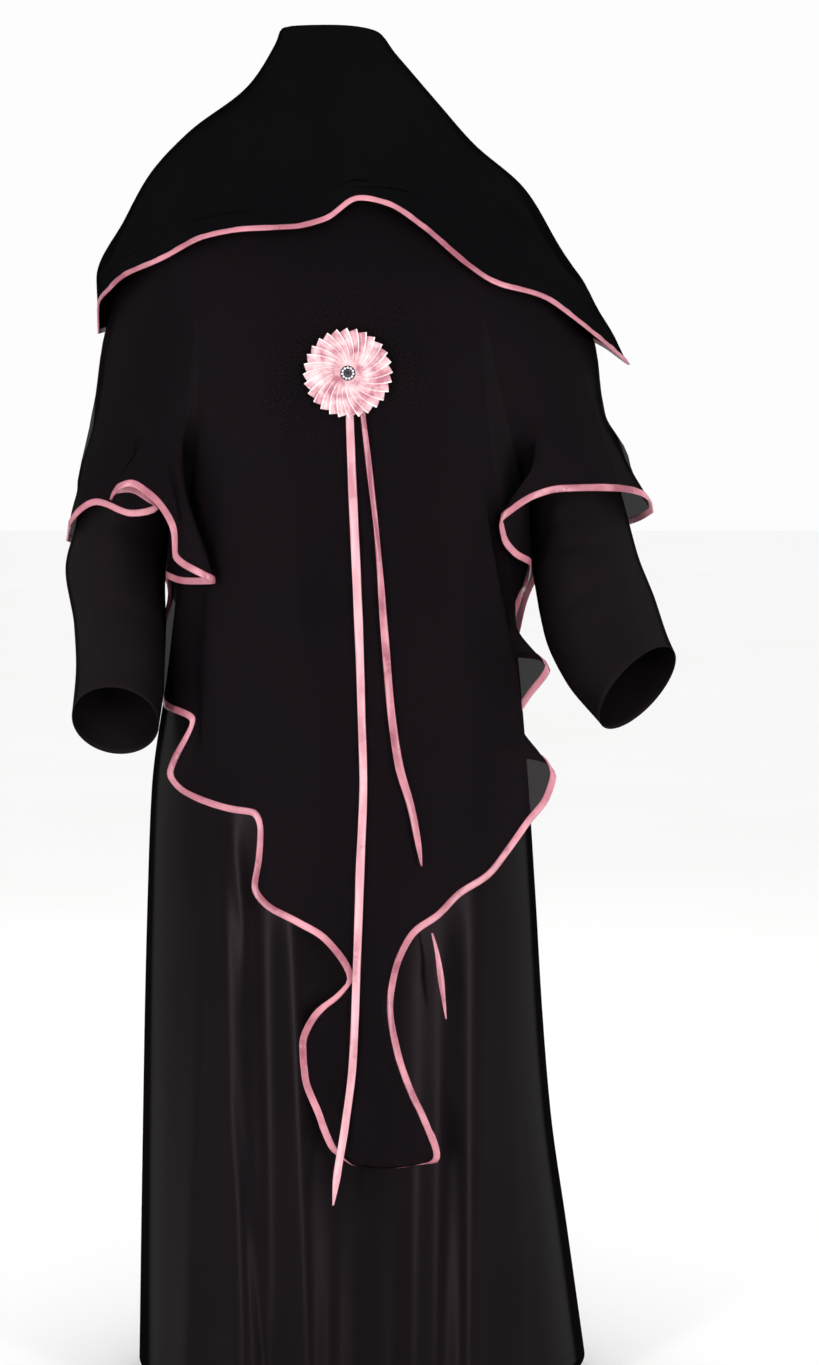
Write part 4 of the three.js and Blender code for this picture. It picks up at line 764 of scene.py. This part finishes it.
def insideDirections(edge, above, around=False):  # from an edge to what is above it, square to the edge
    if around:
        before, after = np.roll(edge, 1, 0), np.roll(edge, -1, 0)
    else:
        before, after = np.concatenate([edge[:1], edge[:-1]]), np.concatenate([edge[1:], edge[-1:]])
    along = unit(after - before)
    up = unit(above - edge)
    up = up - along * np.sum(up * along, -1, keepdims=True)
    turned = np.stack([-along[:, 2], 0 * along[:, 0], along[:, 0]], -1)
    short = np.maximum(0, overlaySizes["shortest"] - np.linalg.norm(up, axis=-1, keepdims=True))
    return unit(up + turned * short)


def threadLine(face, st, inside):
    # one thread from its hem to the neck: it leaves the hem square to it, then turns up
    sizes = overlaySizes
    hem = np.array([st["x"], st["y"], st["z"]])
    over = np.array([st["overX"], st["overY"], st["z"] + st["hang"]])
    share = shareAt(st["chest"], sizes["chestLine"])
    dip = sizes["neckDip"] if face < 0 else sizes["backDip"]
    top = overlayForm["z"][0] - dip * math.cos(math.radians(90) * share) ** sizes["dipPower"]
    z = np.linspace(over[2], top, int(math.ceil((top - over[2]) / sizes["rowStep"])) + 1)[1:]
    formZ = max(sizes["chestLine"], over[2] + sizes["formRise"])
    high = overlayPoints(face, share, z)
    t = ease((formZ - z) / (formZ - over[2]))
    x = mix(overlayPoints(face, share, np.array(formZ))[0], over[0], t)
    sunk = over[1] - face * overlayDepth(face, over[0], over[2])
    low = np.stack([x, face * overlayDepth(face, x, z) + sunk * t, z], -1)
    upper = np.where((z >= formZ)[:, None], high, low)
    far = np.linalg.norm(over - hem)
    reach = min(sizes["leaveShare"] * far, sizes["leaveReach"])
    lift = unit(upper[1] - over)
    leave = hem + inside * reach
    arrive = over - lift * sizes["arriveShare"] * far
    leave[1] = mix(hem[1], over[1], reach / far)
    arrive[1] = mix(hem[1], over[1], sizes["arriveLean"])
    s = np.linspace(0, 1, sizes["bendPoints"])[:, None]
    bend = hem * (1 - s) ** 3 + 3 * leave * s * (1 - s) ** 2 + 3 * arrive * s * s * (1 - s) + over * s**3
    return np.concatenate([bend, upper])


def curled(points, lengths, degrees, line):
    curl = overlaySizes["curlLength"]
    if degrees < 1:
        return points
    radius = curl / math.radians(degrees)
    start = alongLine(line, np.array([curl]))[0]
    turn = (1 - np.minimum(lengths, curl) / curl) * math.radians(degrees)
    down = unit(points - start)
    held = start + down * (radius * np.sin(turn))[:, None]
    held[:, 1] += radius * (1 - np.cos(turn))
    return np.where((lengths < curl)[:, None], held, points)


def overlayPanel(name, face, hemRows, step, clothNode, ribbonNode):
    sizes = overlaySizes
    stations = hemStations(hemRows, step)
    hem = np.stack([stations["x"], stations["y"], stations["z"]], -1)
    over = np.stack([stations["overX"], stations["overY"], stations["z"] + stations["hang"]], -1)
    inside = insideDirections(hem, over)
    inside = unit(smoothSideways(inside[None], int(round(sizes["edgeSoftness"] / step**2)))[0])
    shares = np.linspace(sizes["spreadFrom"], 0, sizes["upperRows"]) ** sizes["spreadPower"]
    binding, cloth = [], []
    for k, st in enumerate(rowsOf(stations)):
        line = threadLine(face, st, inside[k])
        total = lengthsAlong(line)[-1]
        lengths = np.concatenate([clothLengths, mix(total, clothLengths[-1], shares)])
        cloth.append(curled(alongLine(line, lengths), lengths, st["curl"], line))
        binding.append(curled(alongLine(line, bindingLengths), bindingLengths, st["curl"], line))
    cloth = np.stack(cloth, 1)
    binding = np.stack(binding, 1)
    softened = smoothSideways(cloth, int(round(sizes["softness"] / step**2)))
    heights = np.concatenate([clothLengths, mix(sizes["usualHeight"], clothLengths[-1], shares)])
    weight = ease((heights - clothLengths[-1]) / sizes["softBand"])[:, None, None]
    cloth = mix(cloth, softened, weight)
    normals = gridNormals(cloth)  # rows run upwards here, so across x up points out of the front
    normals = unit(smoothSideways(normals, sizes["normalPasses"]))
    cloth = cloth + normals * face * sizes["inset"]
    edgeNormals = gridNormals(np.concatenate([binding, cloth[1:3]]))[: len(bindingLengths)]
    edgeNormals = unit(smoothSideways(edgeNormals, sizes["edgePasses"]))
    piece = gridPiece(name, cloth[::-1], "overlay", outward=face, wall=sizes["wall"], node=clothNode)
    ribbon = bindingPiece(name + "Binding", binding, edgeNormals, face, ribbonNode)
    outs = edgeNormals[sizes["seamRow"]] * -face
    seam = binding[sizes["seamRow"]] + outs * sizes["stitchLift"]
    return piece, ribbon, stitchPiece(name + "BindingStitches", seam, outs, "roseThread")


overlayFront = overlayPanel("overlayFront", -1, overlayHem, overlaySizes["step"], "overlay_front",
                            "overlay_front_ribbon")
overlayBack = overlayPanel("overlayBack", 1, overlayBackHem, overlaySizes["backStep"], "overlay_back",
                           "overlay_back_ribbon")
print("stage: overlay")

# Veil: a matching headcloth laid over the neck and shoulders, ribbon along its edge
veilSizes = {"spokes": 260, "rows": 70, "lift": 7, "wall": 0.6, "ribbonShare": 0.75, "clothEnd": 4.4,
             "startTurn": -92, "poleX": -16, "poleZ": 114, "poleRing": 0.06, "edgeRows": (24, 10), "heart": -200,
             "foldStart": 0.35, "inset": 0.2}
veilStations = table("left leftZ right rightZ front frontZ back backZ", [
    (-72, 113, 40, 109, 52, 112, 52, 112), (-80, 96, 62, 84, 60, 93, 60, 92),
    (-112, 47, 114, 24, 76, 50, 80, 50), (-184, -9, 155, -22, 96, 6, 104, 4),
    (-229, -57, 215, -75, 112, -34, 126, -50), (-259, -110, 256, -145, 122, -60, 138, -100),
    (-293, -180, 297, -212, 128, -80, 144, -148),
])
veilEdge = table("turn x y z", [
    (-92, -290, -12, -244), (-84, -287, -42, -212), (-76, -271, -64, -195), (-66, -250, -82, -181),
    (-52, -205, -106, -162), (-40, -155, -124, -140), (-28, -105, -134, -131), (-16, -58, -138, -130),
    (-6, -18, -138, -121), (4, 20, -130, -96), (14, 54, -134, -104), (24, 92, -136, -128),
    (37, 140, -132, -170), (49, 182, -120, -194), (61, 232, -100, -207), (71, 270, -82, -230),
    (81, 303, -60, -257), (91, 337, -26, -281), (104, 312, 38, -262), (122, 262, 96, -236),
    (144, 168, 138, -212), (166, 60, 150, -198), (190, -52, 148, -194), (214, -158, 138, -204),
    (236, -234, 104, -220), (256, -280, 42, -238),
])
# Shallow swags: bearing in degrees, where they start and how far they stand out
veilFolds = table("turn start rise wide lean", [
    (-70, 0.45, 2.5, 7, 8), (-46, 0.35, 3.5, 8, 10), (-22, 0.30, 3.0, 7, 8), (-4, 0.40, 2.5, 6, -4),
    (18, 0.35, 3.0, 7, -8), (40, 0.30, 3.5, 8, -8), (62, 0.40, 3.0, 7, -10), (84, 0.50, 2.5, 6, -6),
    (112, 0.35, 4.0, 9, -6), (138, 0.30, 4.5, 9, -4), (162, 0.25, 5.0, 9, 0), (186, 0.30, 4.5, 9, 2),
    (212, 0.25, 5.0, 9, 4), (240, 0.35, 4.0, 9, 6),
])


def clearOverlay(p, lift):
    x, y, z = p[..., 0], p[..., 1], p[..., 2]
    free = (z > 0) | (np.abs(x) > overlayWidth(x, z) - 2)
    floor = np.where(y < 0, overlayDepth(-1, x, z), overlayDepth(1, x, z))
    clear = np.where(y < 0, -1, 1) * np.maximum(np.abs(y), floor + lift)
    return np.stack([x, np.where(free, y, clear), z], -1)


def veilPiece(name):
    sizes = veilSizes
    turn = sizes["startTurn"] + 360 * np.arange(sizes["spokes"]) / sizes["spokes"]
    s, c = rounded(np.sin(np.radians(turn))), rounded(np.cos(np.radians(turn)))
    columns = []
    for r in rowsOf(veilStations):
        x = (r["left"] + r["right"]) / 2 + (r["right"] - r["left"]) / 2 * s
        y = -c * np.where(c > 0, r["front"], r["back"])
        z = mix(np.where(s < 0, r["leftZ"], r["rightZ"]), np.where(c > 0, r["frontZ"], r["backZ"]),
                np.cos(np.radians(turn)) ** 2)
        columns.append(clearOverlay(np.stack([x, y, z], -1), sizes["lift"]))
    wrapped = {key: np.append(column, column[0] + (360 if key == "turn" else 0))
               for key, column in veilEdge.items()}
    edge = np.stack([sample(wrapped, "turn", turn, key) for key in "xyz"], -1)
    edge = clearOverlay(edge, sizes["lift"])
    inside = insideDirections(edge, columns[-1], True)
    ring = mix(np.array([sizes["poleX"], 0, sizes["poleZ"]]), columns[0], sizes["poleRing"])
    ring[:, 2] = sizes["poleZ"]
    control = np.stack([ring, *columns, *(edge + inside * reach for reach in sizes["edgeRows"]), edge])
    grid = []
    for k in range(len(turn)):
        line = control[:, k]
        run = lengthsAlong(line)
        rows = {"run": run, **{key: line[:, i] for i, key in enumerate("xyz")}}
        total = run[-1]
        at = np.concatenate([np.linspace(0, total - sizes["clothEnd"], sizes["rows"]),
                             total - bindingLengths[::-1] * sizes["ribbonShare"]])
        grid.append(np.stack([sample(rows, "run", at, key) for key in "xyz"], -1))
    grid = np.stack(grid, 1)
    share = np.concatenate([np.linspace(0, 1, sizes["rows"]), np.ones(len(bindingLengths))])[:, None]
    normals = gridNormals(grid, True)
    fromHeart = grid - np.array([0, 0, sizes["heart"]])
    out = normals * np.sign(np.sum(normals * fromHeart, -1, keepdims=True))
    rise = np.zeros(share.shape[:1] + turn.shape)
    for f in rowsOf(veilFolds):
        away = (turn[None] - f["turn"] - f["lean"] * (share - f["start"]) + 180) % 360 - 180
        started = ease((share - f["start"]) / sizes["foldStart"])
        rise = rise + f["rise"] * started * np.exp(-((away / f["wide"]) ** 2))
    grid = grid + out * rise[..., None]
    clothRows = sizes["rows"]
    cloth = grid[:clothRows] - out[:clothRows] * sizes["inset"]
    piece = gridPiece(name, cloth, "veil", outward=-1, around=True, wall=sizes["wall"], capped=True, node="veil")
    closed, outs = (np.concatenate([rows, rows[:, :1]], 1)[clothRows:][::-1] for rows in (grid, out))
    ribbon = bindingPiece(name + "Binding", closed, -outs, 1, "veil_ribbon")
    seamOut = outs[overlaySizes["seamRow"]]
    seam = closed[overlaySizes["seamRow"]] + seamOut * overlaySizes["stitchLift"]
    return piece, ribbon, stitchPiece(name + "BindingStitches", seam, seamOut, "roseThread")


veil = veilPiece("veilCloth")
print("stage: veil")

# Ribbon tails: they hang from the rosette with small kinks where the ribbon was folded
tailSizes = {"step": 4, "columns": 9, "lift": 5, "wall": 0.5, "cup": 0.5, "waveRise": 1.3, "wave": 62,
             "twist": 12, "tuck": 12, "twistWave": 2.3, "heldTop": 60, "heldFoot": 20,
             "flatWidth": 10, "slack": 1.01, "endLift": -6}
longTail = table("x z width", [
    (10, -346, 9), (14, -450, 10), (19, -560, 10), (23, -680, 9), (25, -760, 9), (21, -870, 10),
    (18, -960, 9), (13, -1080, 9), (5, -1145, 9), (-4, -1200, 9), (-9, -1238, 2),
])
shortTail = table("x z width", [
    (25, -342, 6), (32, -400, 7), (40, -470, 6), (50, -596, 9), (56, -670, 9), (66, -740, 10),
    (80, -790, 9), (88, -830, 7), (92, -856, 2),
])
looseEnd = table("x z width", [
    (104, -934, 2.5), (110, -958, 5), (114, -984, 7.5), (117, -1008, 5), (120, -1032, 1.5),
])


def hangingRibbon(name, rows, node, phase, lift=tailSizes["lift"], tuck=tailSizes["tuck"], finish="ribbon"):
    sizes = tailSizes
    top, foot = rows["z"][0] + tuck, rows["z"][-1]
    z = np.linspace(top, foot, int((top - foot) / sizes["step"]))
    x, half = sample(rows, "z", z, "x"), sample(rows, "z", z, "width") / 2
    depth = overlayDepth(-1, x, z) + lift
    free = ease((top - z) / sizes["heldTop"]) * ease((z - foot) / sizes["heldFoot"])
    wave = sizes["waveRise"] * np.sin(2 * math.pi * z / sizes["wave"] + phase) * free
    twist = np.radians(sizes["twist"] * np.sin(2 * math.pi * z / (sizes["wave"] * sizes["twistWave"]) + phase))
    across = np.linspace(-1, 1, sizes["columns"])
    cup = sizes["cup"] * (1 - across**2)
    offX = half[:, None] * across[None] * np.cos(twist)[:, None]
    offY = half[:, None] * across[None] * np.sin(twist)[:, None]
    y = -(depth + wave)[:, None] - cup[None] + offY
    grid = np.stack(np.broadcast_arrays(x[:, None] + offX, y, z[:, None]), -1)
    piece = gridPiece(name, grid, finish, outward=-1, wall=sizes["wall"], node=node)


# the long tail wears the paler copy of the ribbon: painted highlight
hangingRibbon("tailLong", longTail, "ribbon_tail_long", 0.4, finish="ribbonLitCopy")
hangingRibbon("tailShort", shortTail, "ribbon_tail_short", 2.0)
hangingRibbon("bindingEnd", looseEnd, "hem_ribbon_end", 1.2, tailSizes["endLift"], 0)
print("stage: ribbon tails")

# Rosette: pleats lie over one another like the blades of a fan and swirl towards the stones
rosetteSizes = {"x": 8, "z": -293, "pleats": 28, "radius": 51, "bore": 8.6, "tooth": 4.6, "behind": 8,
                "edgeFrom": 7, "edgeStart": 6, "edgeProud": 0.15, "rows": 30,
                "uneven": 0.25, "heightUneven": 0.16, "rimShare": 0.985, "rimDrop": 1.3, "rimLow": -0.4,
                "underShare": 0.9, "underLow": -0.05}
rosetteRings = table("radius swirl low step", [
    (8.6, 34, 3.2, 1.0), (20, 21, 2.4, 2.8), (36, 9, 1.6, 4.0), (51, 0, 1.0, 4.4),
])
# Across one pleat: a slope up to its free edge, a soft ridge behind the edge and a hollow halfway
pleatAcross = np.array([0, 0.12, 0.25, 0.38, 0.5, 0.62, 0.72, 0.8, 0.86, 0.905, 0.92, 0.925])
pleatSlope = {"share": 0.82, "power": 1.4, "lip": 0.96}
pleatBumps = table("place rise wide", [(0.9, 0.18, 0.08), (0.45, -0.1, 0.1)])


def rosettePiece(name):
    sizes = rosetteSizes
    pitch = 360 / sizes["pleats"]
    behind = -overlayDepth(-1, np.array(float(sizes["x"])), np.array(float(sizes["z"]))) - sizes["behind"]
    radii = np.linspace(sizes["bore"], sizes["radius"], sizes["rows"])
    across = pleatAcross
    lifted = across / across[-1]
    profile = pleatSlope["share"] * lifted ** pleatSlope["power"]
    for bump in rowsOf(pleatBumps):
        profile = profile + bump["rise"] * np.exp(-(((lifted - bump["place"]) / bump["wide"]) ** 2))
    profile[-1] = profile[-2] * pleatSlope["lip"]
    rows, edgeRows = [], []
    for r in radii:
        swirl, low, step = (sample(rosetteRings, "radius", r, key) for key in ("swirl", "low", "step"))
        rim = sizes["tooth"] * (r - sizes["bore"]) / (sizes["radius"] - sizes["bore"])
        rowPoints, edgePoints = [], []
        for pleat in range(sizes["pleats"]):
            uneven = sizes["uneven"] * math.sin(pleat * 2.4)
            angle = np.radians((pleat + across) * pitch + swirl + uneven)
            reach = r - rim * (1 - lifted)
            height = low + step * profile * (1 + sizes["heightUneven"] * math.sin(pleat * 1.7 + 1))
            rowPoints.append(np.stack([reach * np.sin(angle), -height, reach * np.cos(angle)], -1))
            edgePoints.append(rowPoints[-1][sizes["edgeFrom"]:] - np.array([0, sizes["edgeProud"], 0]))
        rows.append(np.concatenate(rowPoints))
        edgeRows.append(edgePoints)
    front = np.stack(rows)
    rim = front[-1].copy()
    rim[:, [0, 2]] *= sizes["rimShare"]
    rim[:, 1] = np.minimum(rim[:, 1] + sizes["rimDrop"], sizes["rimLow"])
    under, core = rim.copy(), front[0].copy()
    under[:, [0, 2]] *= sizes["underShare"]
    under[:, 1] = core[:, 1] = sizes["underLow"]
    middle = np.array([sizes["x"], behind, sizes["z"]])
    grid = np.concatenate([front, rim[None], under[None], core[None], front[:1]]) + middle
    gridPiece(name, grid, "rosette", outward=-1, around=True, node="rosette")
    # strips of near-white satin along each pleat's free edge: painted highlight
    points, faces = [], []
    for pleat in range(sizes["pleats"]):
        strip = np.stack([row[pleat] for row in edgeRows[sizes["edgeStart"]:]])
        faces += gridFaces(*strip.shape[:2], -1, first=len(points))
        points += (strip.reshape(-1, 3) + middle).tolist()
    points = np.array(points)
    meshPiece(name + "Edges", points, faces, "pleatEdgeHighlight", maps=points[:, [0, 2]])
    return middle


rosetteMiddle = rosettePiece("rosette")
print("stage: rosette")

# Stones: a jet centre in a ring of clear ones, on a plated setting
stoneSizes = {"centre": 3.9, "centreBase": 5.6, "centreFacets": 12, "ring": 1.55, "ringBase": 5.0,
              "ringFacets": 8, "ringRadius": 6.15, "ringCount": 11, "spokes": 48}
# A round cut from culet to table, as shares of the girdle's radius
stoneRings = table("wide high", [(0.75, -0.2), (1, 0), (0.98, 0.12), (0.8, 0.34), (0.52, 0.5)])
settingRings = table("radius high", [
    (8.2, 1), (8.25, 4.2), (8.0, 4.9), (7.75, 5.0), (7.6, 4.6), (4.6, 4.4), (4.3, 5.2), (4.05, 5.2), (3.95, 4.6),
])


def ringPoints(radius, high, place, turns):  # a ring round the rosette's axis, lifted off its back
    return np.stack([place[0] + radius * np.sin(turns), rosetteMiddle[1] - high + 0 * turns,
                     place[1] + radius * np.cos(turns)], -1)


def cutStone(name, place, radius, base, facets, finish):
    rings = rowsOf(stoneRings)
    turns = [2 * np.pi * (np.arange(facets) + (k % 2) / 2) / facets for k in range(len(rings))]
    points = [ringPoints(radius * ring["wide"], base + radius * ring["high"], place, turns[k])
              for k, ring in enumerate(rings)]
    faces = []
    for k in range(len(rings) - 1):
        for i in range(facets):
            n = (i + 1) % facets
            a, b, c, d = k * facets + i, k * facets + n, (k + 1) * facets + n, (k + 1) * facets + i
            faces += [(a, b, d), (b, c, d)] if k % 2 == 0 else [(a, b, c), (a, c, d)]
    faces.append(tuple(range(facets))[::-1])
    faces.append(tuple(range((len(rings) - 1) * facets, len(rings) * facets)))
    meshPiece(name, np.concatenate(points), faces, finish, smooth=False)


def settingPiece(name, place):
    spokes = stoneSizes["spokes"]
    turns = 2 * np.pi * np.arange(spokes) / spokes
    grid = np.stack([ringPoints(ring["radius"], ring["high"], place, turns) for ring in rowsOf(settingRings)])
    rows = len(grid)
    faces = gridFaces(rows, spokes, 1, around=True)
    faces += [list(range(spokes))[::-1], list(range((rows - 1) * spokes, rows * spokes))]
    meshPiece(name, grid.reshape(-1, 3), faces, "plate", node="crystal_button")


def buttonPieces(sizes):
    place = rosetteMiddle[[0, 2]]
    settingPiece("stoneSetting", place)
    cutStone("stoneCentre", place, sizes["centre"], sizes["centreBase"], sizes["centreFacets"], "jetStone")
    for k in range(sizes["ringCount"]):
        angle = 2 * math.pi * k / sizes["ringCount"]
        around = place + sizes["ringRadius"] * np.array([math.sin(angle), math.cos(angle)])
        cutStone("stoneRing" + str(k + 1), around, sizes["ring"], sizes["ringBase"], sizes["ringFacets"],
                 "clearStone")


buttonPieces(stoneSizes)
print("stage: stones")

# Floor, light and sky, shown as an ordinary camera would
bpy.context.scene.view_settings.view_transform = "Standard"
studio = {"floorZ": -1500, "floorHalf": 30000, "floorColour": "#fefefe", "mottle": "#fcfcfb",
          "mottleSize": 1000 / 1.2, "skyColour": "#fefefe", "sky": 0.99, "roomSky": 0.6, "aimZ": -700,
          "skyWay": (0, 1, 1.4)}
softboxes = [
    {"name": "keyLeft", "place": (-1700, -2900, -450), "size": (420, 2000), "power": 40},
    {"name": "keyRight", "place": (2100, -2700, -450), "size": (420, 2000), "power": 36},
    {"name": "rim", "place": (300, 2200, 1400), "size": (1800, 900), "power": 12},
]


def makeFloor():
    material, tree = newMaterial("studioPaper")  # matt rolled paper with faint mottling
    mottle = addNoise(tree, studio["mottleSize"], 3.0)
    shade = addRamp(tree, mottle, (0.3, studio["mottle"]), (0.7, studio["floorColour"]))
    addSurface(tree, {"Roughness": 0.9, "Specular IOR Level": 0.1}, {"Base Color": shade})
    half, z = studio["floorHalf"] * mm, studio["floorZ"] * mm
    mesh = bpy.data.meshes.new("floor")
    mesh.from_pydata([(-half, -half, z), (half, -half, z), (half, half, z), (-half, half, z)], [], [(0, 1, 2, 3)])
    mesh.materials.append(material)
    addObject("floor", mesh)


def makeLights():
    world = bpy.data.worlds.new("studio")
    world.use_nodes = True
    bpy.context.scene.world = world
    tree = world.node_tree
    tree.nodes.clear()
    # a white backdrop behind the robe, and the dimmer room in front of it
    way = addNode(tree, "ShaderNodeVectorMath", {"operation": "DOT_PRODUCT", 1: studio["skyWay"]},
                  {0: addNode(tree, "ShaderNodeTexCoord").outputs["Generated"]})
    strength = addRange(tree, way.outputs["Value"], -0.6, 0.4, studio["roomSky"], studio["sky"])
    sky = addNode(tree, "ShaderNodeBackground", {"Color": linear(studio["skyColour"])}, {"Strength": strength})
    addNode(tree, "ShaderNodeOutputWorld", None, {"Surface": sky.outputs["Background"]})
    for box in softboxes:
        data = bpy.data.lights.new(box["name"], "AREA")
        data.shape = "RECTANGLE"
        data.size, data.size_y = (side * mm for side in box["size"])
        data.energy = box["power"]
        aimAt(addObject(box["name"], data), box["place"], (0, 0, studio["aimZ"]))


makeFloor()
makeLights()
print("stage: floor and light")
